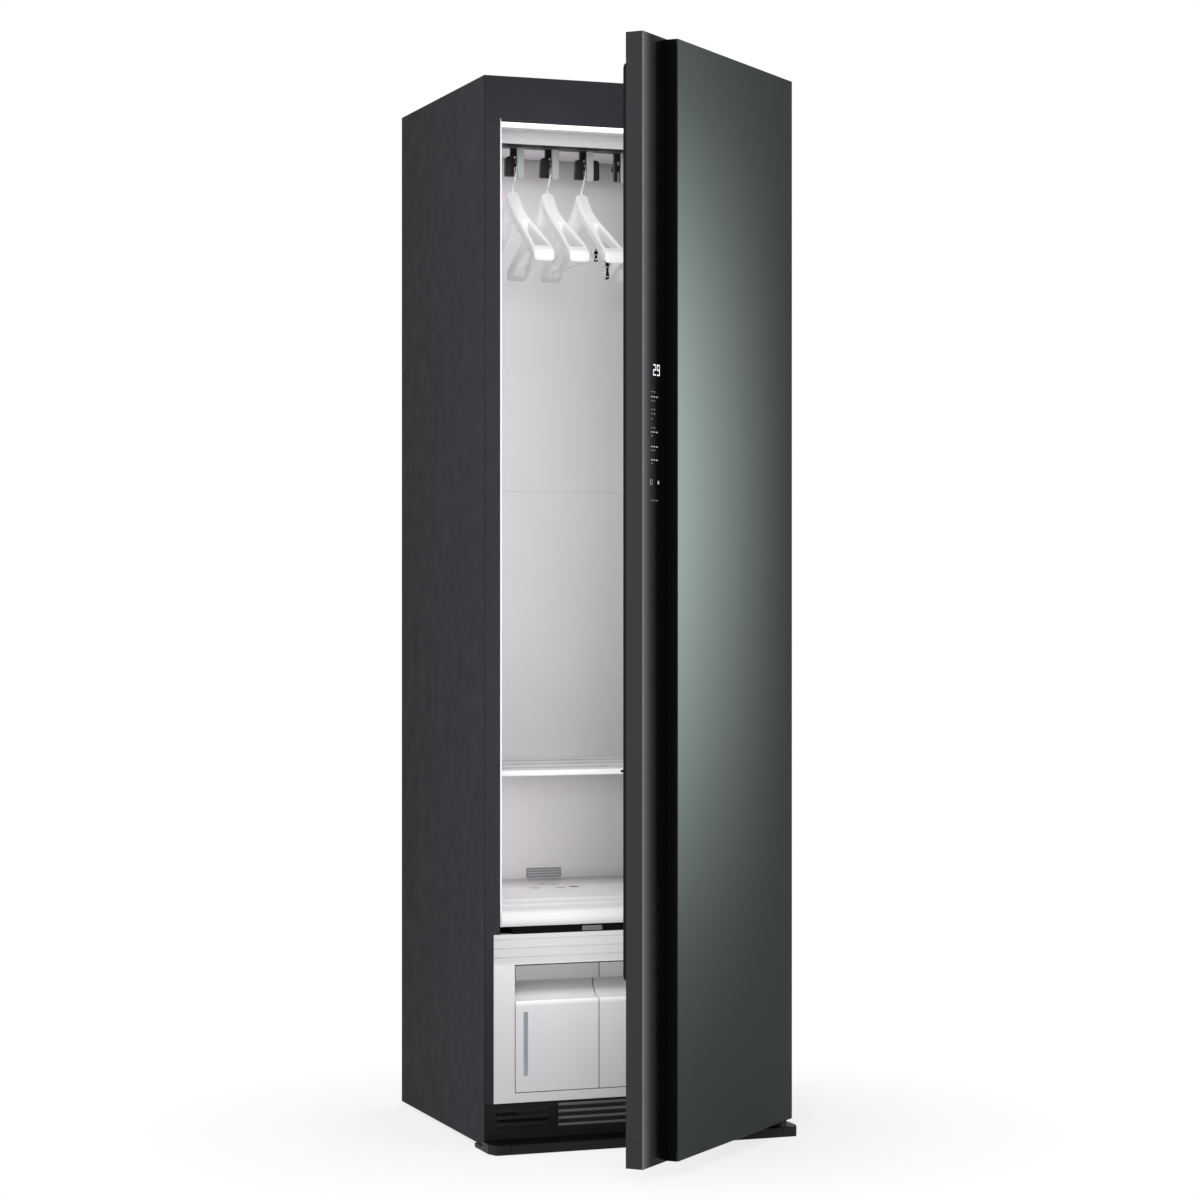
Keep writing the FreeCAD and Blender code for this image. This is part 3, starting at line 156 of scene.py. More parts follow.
def swing(points, angle=DOOR_ANGLE):
    """Turns points about the door's hinge: x and y by the rotation matrix, z unchanged."""
    points = np.asarray(points, float)
    c, s = math.cos(angle), math.sin(angle)
    x = points[..., 0] - PIVOT[0]
    y = points[..., 1] - PIVOT[1]
    return np.stack([PIVOT[0] + c * x - s * y, PIVOT[1] + s * x + c * y, points[..., 2]], -1)


def span(node, shut=False):
    """Lowest and highest corner of a CAD node, or of a door node with the door turned shut."""
    mesh = frame["nodes"][node].data
    points = np.empty(len(mesh.vertices) * 3)
    mesh.vertices.foreach_get("co", points)
    points = points.reshape(-1, 3)
    if shut:
        points = swing(points, -DOOR_ANGLE)
    return points.min(0), points.max(0)


# ---- surfaces ----

class Shell:
    """Points, faces and finish numbers of one piece, gathered surface by surface."""

    def __init__(self):
        self.points = []
        self.faces = []
        self.finishes = []
        self.count = 0

    def add(self, points, faces, finish=0):
        """Adds points and faces, which count from the first of these points."""
        points = np.asarray(points, float).reshape(-1, 3)
        for group in faces:
            self.faces += (np.asarray(group) + self.count).tolist()
            self.finishes += [finish] * len(group)
        self.points.append(points)
        self.count += len(points)

    def sheet(self, grid, round_u=False, round_v=False, finish=0):
        """A surface of two parameters: grid[i, j] joins its neighbours, and wraps where it is round."""
        index = np.arange(grid.shape[0] * grid.shape[1]).reshape(grid.shape[:2])
        if round_u:
            index = np.vstack([index, index[:1]])
        if round_v:
            index = np.hstack([index, index[:, :1]])
        quads = np.stack([index[:-1, :-1], index[1:, :-1], index[1:, 1:], index[:-1, 1:]], -1)
        self.add(grid, [quads.reshape(-1, 4)], finish)

    def solid(self, rings, finish=0):
        """Closed rings joined one to the next, with both end rings filled."""
        count, around = rings.shape[:2]
        self.sheet(rings, round_v=True, finish=finish)
        index = np.arange(around) + self.count - count * around
        self.faces += [index[::-1].tolist(), (index + (count - 1) * around).tolist()]
        self.finishes += [finish, finish]

    def block(self, *shape, finish=0):
        self.solid(block(*shape), finish)

    def cap(self, around):
        """Fills the last ring, of so many points."""
        self.faces.append((np.arange(around) + self.count - around).tolist())
        self.finishes.append(0)

    def cells(self, corners, finish=0):
        """Separate four-cornered faces: corners[n] holds the four points of face n."""
        self.add(corners, [np.arange(len(corners) * 4).reshape(-1, 4)], finish)


def outline(half_a, half_b, radius, steps=5):
    """A rectangle with quarter-circle corners, anticlockwise from the lower right. radius is one
    number or one for each corner: lower right, upper right, upper left, lower left."""
    radii = np.broadcast_to(np.asarray(radius, float), 4)[:, None]
    radii = np.minimum(np.maximum(radii, 1e-5), min(half_a, half_b))
    turn = np.linspace(0, math.pi / 2, steps + 1)[None, :]
    start = np.array([-0.5, 0.0, 0.5, 1.0])[:, None] * math.pi
    sign_a = np.array([1, 1, -1, -1])[:, None]
    sign_b = np.array([-1, 1, 1, -1])[:, None]
    a = sign_a * (half_a - radii) + radii * np.cos(start + turn)
    b = sign_b * (half_b - radii) + radii * np.sin(start + turn)
    return np.stack([a.ravel(), b.ravel()], -1)


def block(low, high, corner=1 * MM, edge=0.6 * MM, axis=2, steps=5):
    """Rings of a rounded block: an outline with rounded corners is stacked along an axis, and drawn
    in at both ends by edge x (1 - sin t) while it rises by edge x (1 - cos t)."""
    low = np.asarray(low, float)
    high = np.asarray(high, float)
    a, b = [k for k in range(3) if k != axis]
    half = (high - low) / 2
    middle = (high + low) / 2
    edge = min(edge, half[axis], half[a] * 0.9, half[b] * 0.9)
    t = np.linspace(0, math.pi / 2, 4)
    inset = edge * (1 - np.sin(t))
    rise = edge * (1 - np.cos(t))
    insets = np.concatenate([inset, inset[::-1]])
    heights = np.concatenate([low[axis] + rise, high[axis] - rise[::-1]])
    rings = []
    for pull, height in zip(insets, heights):
        flat = outline(half[a] - pull, half[b] - pull, np.asarray(corner, float) - pull, steps)
        ring = np.zeros((len(flat), 3))
        ring[:, a] = middle[a] + flat[:, 0]
        ring[:, b] = middle[b] + flat[:, 1]
        ring[:, axis] = height
        rings.append(ring)
    return np.array(rings)


def drum(centre, radius, low, high, edge=0.6 * MM, axis=2, sides=32):
    """A round block: the same stack as block, with a circle as its outline."""
    reach = np.full(3, radius)
    start = np.asarray(centre, float) - reach
    end = np.asarray(centre, float) + reach
    start[axis] = low
    end[axis] = high
    return block(start, end, radius, edge, axis, sides // 4)


def tube(path, radius, across, sides=14, round_ends=True):
    """A round section carried along a path: point = path + r (cos a . n + sin a . b), where b is
    across made square to the path and n is square to both. Round ends shrink r like a half ball."""
    path = np.asarray(path, float)
    tangent = np.gradient(path, axis=0)
    tangent /= np.linalg.norm(tangent, axis=1)[:, None]
    side = across - (tangent @ np.asarray(across, float))[:, None] * tangent
    side /= np.linalg.norm(side, axis=1)[:, None]
    normal = np.cross(tangent, side)
    radii = np.broadcast_to(np.asarray(radius, float), len(path)).copy()
    if round_ends:
        t = np.linspace(0.15, math.pi / 2, 4)[:-1]
        push = np.cos(t)[:, None] * radii[0]
        path = np.vstack([path[0] - tangent[0] * push, path, path[-1] + tangent[-1] * push[::-1]])
        side = np.vstack([np.repeat(side[:1], 3, 0), side, np.repeat(side[-1:], 3, 0)])
        normal = np.vstack([np.repeat(normal[:1], 3, 0), normal, np.repeat(normal[-1:], 3, 0)])
        radii = np.concatenate([radii[0] * np.sin(t), radii, radii[-1] * np.sin(t[::-1])])
    angle = np.linspace(0, 2 * math.pi, sides, endpoint=False)[None, :, None]
    return path[:, None] + radii[:, None, None] * (np.cos(angle) * normal[:,
                                                                          None] + np.sin(angle) * side[:,
        None])


def extrude(profile, low, high, axis=0):
    """Carries a closed outline straight along an axis; its points hold the two other coordinates."""
    return np.stack([np.insert(np.asarray(profile, float), axis, place, 1) for place in (low, high)])


def surround(low, high, corner, section, steps=8):
    """Carries a closed section round a rounded rectangle in the X-Z plane: section[k] = (o, y) puts
    the rectangle, grown by o, at depth y."""
    half = ((high[0] - low[0]) / 2, (high[2] - low[2]) / 2)
    middle = ((high[0] + low[0]) / 2, (high[2] + low[2]) / 2)
    rings = []
    for out, depth in section:
        flat = outline(half[0] + out, half[1] + out, corner + out, steps)
        rings.append(np.stack([middle[0] + flat[:, 0], np.full(len(flat), depth), middle[1] + flat[:, 1]],
                              -1))
    return np.array(rings)


def relief(shell, xs, zs, front, back, finish=0):
    """A stepped plate: the cell between xs[i], xs[i + 1] and zs[j], zs[j + 1] has its face at depth
    front[i, j], or is open where that is nan. Walls close every step and every opening."""
    xs = np.asarray(xs, float)
    zs = np.asarray(zs, float)
    i, j = np.nonzero(~np.isnan(front))

    def flat(y):
        x0, x1, z0, z1 = xs[i], xs[i + 1], zs[j], zs[j + 1]
        return np.stack([np.stack(corner, -1) for corner in ((x0, y, z0), (x1, y, z0), (x1, y, z1),
                                                             (x0, y, z1))], 1)

    shell.cells(flat(front[i, j]), finish)
    shell.cells(flat(np.full(len(i), back))[:, ::-1], finish)
    level = np.pad(np.where(np.isnan(front), back, front), 1, constant_values=back)
    for di, dj in ((0, 1), (1, 0)):
        here, there = (level[:-1, 1:-1], level[1:, 1:-1]) if dj else (level[1:-1, :-1], level[1:-1, 1:])
        a, b = np.nonzero(here != there)
        y0, y1 = here[a, b], there[a, b]
        x0, x1, z0, z1 = xs[a], xs[a + di], zs[b], zs[b + dj]
        corners = ((x0, y0, z0), (x0, y1, z0), (x0, y1, z1), (x0, y0, z1)) if dj else (
            (x0, y0, z0), (x1, y0, z0), (x1, y1, z0), (x0, y1, z0))
        shell.cells(np.stack([np.stack(corner, -1) for corner in corners], 1), finish)


def smooth_step(value, low, high):
    """0 below low, 1 above high, and 3t^2 - 2t^3 between."""
    t = np.clip((value - low) / (high - low), 0, 1)
    return t * t * (3 - 2 * t)


def place_object(name, data):
    """A new object with this data, linked to the scene."""
    made = bpy.data.objects.new(name, data)
    bpy.context.scene.collection.objects.link(made)
    return made


def make_piece(name, shell, body, finishes, replaces=(), door=False, smooth=40.0, outward=True,
               bevel=None):
    """Turns a shell into a piece at the origin that rides on a body and stands for CAD nodes."""
    points = np.vstack(shell.points)
    if door:
        points = swing(points)
    mesh = bpy.data.meshes.new(name)
    mesh.from_pydata(points.tolist(), [], shell.faces)
    for kind in finishes:
        mesh.materials.append(finish(kind))
    mesh.polygons.foreach_set("material_index", shell.finishes)
    made = bmesh.new()
    made.from_mesh(mesh)
    bmesh.ops.remove_doubles(made, verts=made.verts, dist=2e-6)
    if outward:
        bmesh.ops.recalc_face_normals(made, faces=made.faces)
    made.to_mesh(mesh)
    made.free()
    mesh.set_sharp_from_angle(angle=math.radians(smooth))
    piece = place_object(name, mesh)
    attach(piece, body)
    if replaces:
        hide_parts(*replaces)
    if bevel:
        soften(piece, *bevel)
    return piece


def soften(piece, width, segments=2, angle=35.0):
    """A live bevel on the piece's sharp edges, with the flat faces kept flat."""
    bevel = piece.modifiers.new("edges", "BEVEL")
    bevel.width = width
    bevel.segments = segments
    bevel.limit_method = "ANGLE"
    bevel.angle_limit = math.radians(angle)
    bevel.harden_normals = True


def thicken(piece, wall, wrong):
    """Turns the faces whose middle and normal are wrong, and gives the sheet a wall behind them."""
    made = bmesh.new()
    made.from_mesh(piece.data)
    bmesh.ops.reverse_faces(made, faces=[face for face in made.faces if wrong(face.calc_center_median(),
        face.normal)])
    made.to_mesh(piece.data)
    made.free()
    thick = piece.modifiers.new("wall", "SOLIDIFY")
    thick.thickness = wall
    thick.offset = -1


def dress(kind, edge, *nodes):
    """Gives CAD nodes their finish. Modifiers join their loose triangles and round their edges."""
    for node in nodes:
        piece = frame["nodes"][node]
        piece.data.materials.clear()
        piece.data.materials.append(finish(kind))
        if edge:
            piece.modifiers.new("join", "WELD").merge_threshold = 1e-5
            soften(piece, edge)


# ---- finishes ----

def scaled(tint, factor):
    return tuple(min(1, c * factor) for c in tint)


def add_node(tree, kind, values=None, **attributes):
    """A node with its attributes set and its sockets set or linked."""
    node = tree.nodes.new(kind)
    for key, value in attributes.items():
        setattr(node, key, value)
    for key, value in (values or {}).items():
        if isinstance(value, bpy.types.NodeSocket):
            tree.links.new(value, node.inputs[key])
        else:
            node.inputs[key].default_value = value
    return node


class Surface:
    """A procedural material on a Principled shader. Constants go on the shader's own sockets."""

    def __init__(self, name, tint, roughness, metallic=0.0, specular=0.5, **constants):
        self.material = bpy.data.materials.new(name)
        self.material.use_nodes = True
        self.tree = self.material.node_tree
        self.shader = self.tree.nodes["Principled BSDF"]
        self.tint = tint
        self.height = None
        constants.update(Base_Color=(*tint, 1), Roughness=roughness, Metallic=metallic,
                         Specular_IOR_Level=specular)
        for key, value in constants.items():
            self.shader.inputs[key.replace("_", " ")].default_value = value
        self.coordinates = self.add("ShaderNodeTexCoord").outputs["Object"]

    def add(self, kind, values=None, **attributes):
        return add_node(self.tree, kind, values, **attributes)

    def mapped(self, stretch=(1, 1, 1)):
        return self.add("ShaderNodeMapping", {"Vector": self.coordinates, "Scale": stretch}).outputs["Vector"]

    def noise(self, scale, detail=3.0, stretch=(1, 1, 1)):
        return self.add("ShaderNodeTexNoise", {"Vector": self.mapped(stretch), "Scale": scale,
                                               "Detail": detail}).outputs["Fac"]

    def cells(self, scale, feature="F1", output="Distance"):
        return self.add("ShaderNodeTexVoronoi", {"Vector": self.mapped(), "Scale": scale},
                        feature=feature).outputs[output]

    def bands(self, scale, distortion=0.0):
        """Even waves along X."""
        return self.add("ShaderNodeTexWave", {"Vector": self.mapped(), "Scale": scale,
                                              "Distortion": distortion},
                        bands_direction="X").outputs["Fac"]

    def place(self, axis):
        return self.add("ShaderNodeSeparateXYZ", {"Vector": self.coordinates}).outputs[axis]

    def ranged(self, value, low, high, start=0.3, end=0.7):
        return self.add("ShaderNodeMapRange", {"Value": value, "From Min": start, "From Max": end,
                                               "To Min": low, "To Max": high}).outputs["Result"]

    def math(self, operation, a, b=0.0):
        return self.add("ShaderNodeMath", {0: a, 1: b}, operation=operation).outputs[0]

    def blend(self, factor, dark, light):
        pair = {key: value if isinstance(value, bpy.types.NodeSocket) else (*value, 1)
                for key, value in ((6, dark), (7, light))}
        return self.add("ShaderNodeMix", {"Factor": factor, **pair}, data_type="RGBA").outputs[2]

    def door_axes(self):
        """Object coordinates from the door's hinge, turned as if the door were shut."""
        local = self.add("ShaderNodeMapping", {"Vector": self.coordinates, "Location": tuple(-PIVOT)},
                         vector_type="POINT").outputs["Vector"]
        turned = self.add("ShaderNodeVectorRotate", {"Vector": local, "Angle": -DOOR_ANGLE},
                          rotation_type="Z_AXIS").outputs["Vector"]
        return self.add("ShaderNodeSeparateXYZ", {"Vector": turned}).outputs

    def mottle(self, scale, amount, **noise):
        """Colour drifts by amount either side of the tint."""
        self.paint(self.blend(self.ranged(self.noise(scale, **noise), 0, 1), scaled(self.tint, 1 - amount),
                              scaled(self.tint, 1 + amount)))

    def paint(self, socket, target="Base Color"):
        self.tree.links.new(socket, self.shader.inputs[target])

    def roughen(self, value, low, high):
        self.paint(self.ranged(value, low, high), "Roughness")

    def emboss(self, value, depth, strength=1.0):
        """Adds one layer of bump, depth metres deep, on top of the last."""
        values = {"Height": value, "Distance": depth, "Strength": strength}
        if self.height:
            values["Normal"] = self.height
        self.height = self.add("ShaderNodeBump", values).outputs["Normal"]
        self.paint(self.height, "Normal")


def moulded(name, tint, roughness, specular=0.25, grain=1400.0, depth=0.00004, drift=0.03):
    """Moulded plastic: a fine spark-eroded grain, a faint flow drift and uneven gloss."""
    made = Surface(name, tint, roughness, specular=specular)
    made.mottle(6.0, drift, detail=4.0)
    made.roughen(made.noise(18.0), roughness * 0.9, roughness * 1.1)
    made.emboss(made.noise(grain, 2.0), depth, 0.35)
    return made


def graded(name, tint, roughness, axis, start, end, factor, specular=0.25):
    """Moulded plastic whose tint is scaled by a factor from one place to another along an axis, which mostly
    paints light or shade into the colour.
    """
    made = moulded(name, tint, roughness, specular, 700.0, 0.00003)
    drift = made.ranged(made.noise(6.0, 4.0), 0, 1)
    near, far = (made.blend(drift, scaled(tint, scale * 0.985), scaled(tint, scale * 1.015))
                 for scale in (1, factor))
    made.paint(made.blend(made.ranged(made.place(axis), 0, 1, start, end), near, far))
    return made


def painted(name, tint, roughness, specular=0.5, rear=1.0):
    """Baked paint on sheet: orange peel and tiny pigment flecks, with painted shade towards the rear where
    rear is below 1.
    """
    made = Surface(name, tint, roughness, specular=specular)
    drift = made.blend(made.ranged(made.noise(5.0), 0, 1), scaled(tint, 0.96), scaled(tint, 1.04))
    # Painted shade: the tint falls to rear times itself over the first 0.6 m back from the front.
    if rear < 1:
        drift = made.blend(made.ranged(made.place("Y"), 0, 1, 0.0, 0.6), drift, scaled(tint, rear))
    made.paint(made.blend(made.ranged(made.noise(3200.0, 1.0), 0.0, 0.25, 0.55, 0.75), drift,
                          scaled(tint, 1.9)))
    made.roughen(made.noise(24.0), roughness * 0.9, roughness * 1.1)
    made.emboss(made.noise(420.0, 2.0), 0.00005, 0.30)
    return made


def brushed(name, tint, roughness, stretch, metallic=1.0, specular=0.5):
    """Brushed metal: noise drawn out along the brushing, in colour, gloss and relief."""
    made = Surface(name, tint, roughness, metallic, specular)
    made.mottle(60.0, 0.10, stretch=stretch, detail=5.0)
    made.roughen(made.noise(120.0, stretch=stretch), roughness * 0.75, roughness * 1.3)
    made.emboss(made.noise(300.0, stretch=stretch), 0.00003, 0.4)
    return made


def zinc_sheet(name, tint):
    """Zinc coated sheet: crystals of spangle that differ in tone and gloss."""
    made = Surface(name, tint, 0.42, 0.85)
    tone = made.add("ShaderNodeSeparateColor", {"Color": made.cells(70.0, output="Color")}).outputs[0]
    made.paint(made.blend(tone, scaled(tint, 0.86), scaled(tint, 1.12)))
    made.roughen(tone, 0.34, 0.52)
    made.emboss(made.noise(500.0), 0.00003, 0.2)
    return made


def exchanger_sheet(name):
    """Thin fins pressed close together: a fine comb along X of bright fin edges and darker lines of painted
    shade between them.
    """
    made = Surface(name, (0.72, 0.73, 0.75), 0.35, 1.0)
    comb = made.bands(160.0, 0.1)
    made.paint(made.blend(comb, (0.40, 0.41, 0.43), (0.80, 0.81, 0.83)))
    made.emboss(comb, 0.0004, 0.6)
    return made


def copper_pipe(name):
    """Drawn copper with a warm uneven tarnish."""
    made = Surface(name, (0.80, 0.42, 0.27), 0.28, 1.0)
    made.paint(made.blend(made.ranged(made.noise(30.0, 4.0), 0, 1), (0.52, 0.24, 0.14), (0.86, 0.48, 0.32)))
    made.roughen(made.noise(45.0), 0.2, 0.45)
    return made


def circuit_board(name):
    """Green solder mask with pale copper tracks under it."""
    made = Surface(name, (0.02, 0.14, 0.06), 0.35)
    tracks = made.cells(90.0, "DISTANCE_TO_EDGE")
    made.paint(made.blend(made.ranged(tracks, 1, 0, 0.02, 0.06), (0.012, 0.10, 0.04), (0.05, 0.26, 0.11)))
    made.emboss(tracks, 0.0002, 0.3)
    return made


def chrome(name, tone, roughness):
    """Polished chrome with a breath of haze, so that it is not a perfect mirror."""
    made = Surface(name, (tone, tone, tone), roughness, 1.0)
    made.mottle(40.0, 0.05)
    made.roughen(made.noise(80.0), roughness * 0.7, roughness * 1.4)
    made.emboss(made.noise(160.0), 0.00003, 0.1)
    return made


def light_bar(name, strength):
    """Frosted cover: even glow with a faint row of brighter spots where the diodes sit."""
    made = Surface(name, (0.95, 0.95, 0.95), 0.5, Emission_Strength=strength)
    made.paint(made.blend(made.bands(12.0), (0.93, 0.95, 0.97), (1.0, 1.0, 1.0)), "Emission Color")
    made.mottle(400.0, 0.02)
    made.emboss(made.noise(900.0), 0.00005, 0.3)
    return made


def tank_window(name, tint):
    """Smoky slit: lighter at its bottom and darker towards its top, with a soft streak down its length."""
    made = Surface(name, tint, 0.18, Coat_Weight=0.4)
    made.paint(made.blend(made.ranged(made.place("Z"), 0, 1, 0.13, 0.25), scaled(tint, 1.15),
                          scaled(tint, 0.85)))
    made.roughen(made.noise(60.0), 0.12, 0.25)
    return made


def shelf_white(name, tint):
    """Moulded white with painted shade in three broad bands that run along X."""
    made = Surface(name, tint, 0.34, specular=0.25)
    shade_bands = 0.0
    # Painted shade: three bands along X.
    for middle in SHELF_SHADE_BANDS:
        off = made.math("ABSOLUTE", made.math("SUBTRACT", made.place("Y"), middle))
        shade_bands = made.math("ADD", made.ranged(off, 1.0, 0.0, 12 * MM, 24 * MM), shade_bands)
    made.paint(made.blend(shade_bands, tint, scaled(tint, 0.62)))
    made.roughen(made.noise(18.0), 0.30, 0.38)
    made.emboss(made.noise(900.0, 2.0), 0.00003, 0.3)
    return made


def tank_white(name, tint):
    """Moulded white with a painted highlight on the lip below the grip and painted shade up the hollow of the
    grip.
    """
    made = Surface(name, tint, 0.3, specular=0.25)
    up = made.place("Z")
    # Painted highlight on the lip, then painted shade up the hollow.
    lip = made.ranged(up, 0.0, 1.0, GRIP_LOW - 2 * MM, GRIP_LOW + 5 * MM)
    shade = made.ranged(up, 0.0, 1.0, GRIP_LOW + 12 * MM, GRIP_LOW + 24 * MM)
    made.paint(made.blend(shade, made.blend(lip, tint, scaled(tint, 1.35)), scaled(tint, 0.8)))
    made.roughen(made.noise(18.0), 0.26, 0.34)
    made.emboss(made.noise(1200.0, 2.0), 0.00002, 0.3)
    return made


def door_green(name, glass, reflection_tint):
    """Satin metallic green under glass, with a pale painted reflection of a soft light near the free
    edge at mid height that fades to a deep green, and very fine metal flecks."""
    made = Surface(name, glass, 0.45, specular=0.03)
    axes = made.door_axes()
    across = made.ranged(axes["X"], 1.0, 0.0, *REFLECTION_REACH)
    low, high = span("door_glass")
    up = made.ranged(axes["Z"], 0.0, 1.0, low[2] - PIVOT[2], high[2] - PIVOT[2])
    ramp = made.add("ShaderNodeValToRGB", {"Fac": up})
    elements = ramp.color_ramp.elements
    ramp.color_ramp.interpolation = "B_SPLINE"
    while len(elements) < len(REFLECTION_HEIGHTS):
        elements.new(0.5)
    for element, (place, value) in zip(elements, REFLECTION_HEIGHTS):
        element.position = place
        element.color = (value, value, value, 1)
    # Painted reflection: strongest near the free edge at mid height, fading across and up and down.
    reflection = made.math("MULTIPLY", ramp.outputs["Color"], made.math("POWER", across, 1.4))
    body = made.blend(reflection, glass, reflection_tint)
    fleck = made.ranged(made.noise(4200.0, 1.0), 0.0, 0.35, 0.52, 0.78)
    made.paint(made.blend(fleck, body, made.blend(0.5, body, (0.16, 0.19, 0.17))))
    made.roughen(made.noise(900.0, 2.0), 0.42, 0.50)
    made.emboss(made.noise(2600.0, 1.0), 0.00002, 0.25)
    return made


def gloss_strip(name, tint):
    """Gloss black cover, with a painted highlight along the free edge and a painted reflection beside it that
    dies away across the strip.
    """
    made = Surface(name, tint, 0.2, specular=0.03)
    across = made.door_axes()["X"]
    # Painted reflection: a grey haze beside the free edge, and a brighter painted highlight on its rim.
    reflection = made.ranged(across, 1.0, 0.0, STRIP_EDGE + 8 * MM, STRIP_EDGE + 34 * MM)
    rim = made.ranged(across, 1.0, 0.0, STRIP_EDGE + 2 * MM, STRIP_EDGE + 7 * MM)
    haze = made.blend(made.math("POWER", reflection, 1.3), tint, (0.085, 0.083, 0.094))
    made.paint(made.blend(made.math("MULTIPLY", rim, made.ranged(made.noise(30.0), 0.85, 1.0)), haze,
                          (0.16, 0.157, 0.17)))
    made.roughen(made.noise(50.0), 0.16, 0.24)
    return made


def display_glow(name, tint, strength):
    """Lit marks behind the black cover, a little uneven from one end to the other."""
    made = Surface(name, (0.02, 0.02, 0.02), 0.4, Emission_Strength=strength)
    made.paint(made.blend(made.ranged(made.noise(70.0), 0, 1), scaled(tint, 0.85), tint), "Emission Color")
    return made


def recipes():
    """Every finish by name: its maker, and what the maker is given after the name."""
    scene = bpy.context.scene
    casing, chamber, hangers = scene.casing, scene.chamber, scene.hangers
    lower, door = scene.lower_front, scene.door
    louvre_face = span("kick_plate")[0][1]
    plinth_top = span("plinth_bar")[1][2]
    lid_top = span("supply_tank_lid")[1][2]
    return {
        # The header and stiles take a lighter copy of the casing paint as painted light; the sides take
        # painted shade towards the rear.
        "casing_paint": (painted, scaled(casing.paint, 1.08), 0.5, 0.05),
        "side_paint": (painted, casing.paint, 0.5, 0.015, 0.55),
        "door_paint": (painted, door.frame, 0.5, 0.06),
        "can_paint": (painted, (0.012, 0.012, 0.013), 0.3),
        "zinc_sheet": (zinc_sheet, casing.zinc),
        "black_trim": (moulded, casing.trim, 0.5, 0.08),
        # The slot floors behind the louvre face are painted darker: painted shade in the slots.
        "kick_black": (graded, scaled(casing.trim, 1.1), 0.5, "Y", louvre_face + 0.8 * MM,
                       louvre_face + 3 * MM, 0.12, 0.08),
        # The plinth's top face is painted darker: painted shade under the cabinet.
        "plinth_black": (graded, (0.0155, 0.0155, 0.0165), 0.5, "Z", plinth_top - 2.2 * MM,
                         plinth_top - 0.4 * MM, 0.08, 0.1),
        "tray_black": (moulded, (0.004, 0.004, 0.005), 0.5, 0.02),
        # Black of the sheets behind the louvres, standing in for shade.
        "louvre_screen": (moulded, (0.006, 0.006, 0.006), 0.7),
        "glass_edge": (moulded, (0.008, 0.010, 0.009), 0.3),
        "rubber": (moulded, (0.014, 0.014, 0.015), 0.7, 0.02, 900.0, 0.00008),
        # The bay is kept dark grey so that the gaps round the tanks read as dark lines: partly its own
        # colour, partly painted shade.
        "bay_grey": (moulded, (0.05, 0.05, 0.052), 0.5),
        "vent_grey": (moulded, (0.11, 0.11, 0.114), 0.42),
        "tab_grey": (moulded, (0.12, 0.12, 0.122), 0.45),
        "outlet_grey": (moulded, (0.33, 0.33, 0.345), 0.45),
        "box_plastic": (moulded, (0.55, 0.55, 0.53), 0.5),
        # The lining and the floor tray are painted lighter towards the left: painted light.
        "lining": (graded, chamber.lining, 0.34, "X", *LINING_LIGHT_SPAN, 1.38),
        "tray_lining": (graded, scaled(chamber.lining, 0.88), 0.34, "X", *LINING_LIGHT_SPAN, 1.25),
        "lining_edge": (moulded, (0.86, 0.86, 0.87), 0.35, 0.25, 700.0, 0.00003, 0.01),
        "door_lining": (moulded, (0.66, 0.66, 0.67), 0.36, 0.25, 700.0, 0.00003, 0.015),
        "shelf_white": (shelf_white, (0.76, 0.75, 0.76)),
        "light_bar": (light_bar, chamber.lamp),
        # The fascia is darker above the tops of the lids.
        "fascia_white": (graded, lower.white, 0.33, "Z", lid_top, lid_top + 6 * MM, 0.82),
        "tank_white": (tank_white, lower.white),
        "tank_lid": (moulded, lower.lid, 0.34, 0.25, 1200.0, 0.00003),
        "tank_window": (tank_window, lower.window),
        "exchanger_sheet": (exchanger_sheet,),
        "copper_pipe": (copper_pipe,),
        "circuit_board": (circuit_board,),
        "polished_chrome": (chrome, 0.80, 0.10),
        "hook_wire": (chrome, 0.92, 0.30),
        "screw_steel": (brushed, (0.55, 0.55, 0.56), 0.3, (1, 1, 6)),
        "boiler_cast": (brushed, (0.52, 0.53, 0.54), 0.45, (1, 1, 8)),
        "motor_steel": (brushed, (0.48, 0.48, 0.50), 0.32, (8, 8, 1)),
        "rail_silver": (brushed, hangers.silver, 0.4, (1, 30, 30), 0.0, 0.2),
        "holder_black": (moulded, hangers.black, 0.4, 0.15),
        "strap_grey": (moulded, hangers.strap, 0.36, 0.25, 1200.0, 0.00003),
        # The hangers are painted darker lower down: painted shade below their lit tops.
        "hanger_white": (graded, hangers.plastic, 0.3, "Z", *HANGER_SHADE_SPAN, 0.70),
        "door_green": (door_green, door.glass, door.reflection_tint),
        "gloss_strip": (gloss_strip, door.black),
        "display_white": (display_glow, (0.95, 0.97, 1.0), 1.3),
        "display_soft": (display_glow, (0.88, 0.90, 0.95), 0.55),
        "display_dim": (display_glow, (0.80, 0.83, 0.88), 0.16),
    }


FINISHES = {}


def finish(name):
    """The finish of that name, made the first time that it is asked for."""
    if name not in FINISHES:
        maker, *values = recipes()[name]
        FINISHES[name] = maker(name, *values).material
    return FINISHES[name]


# ---- casing ----

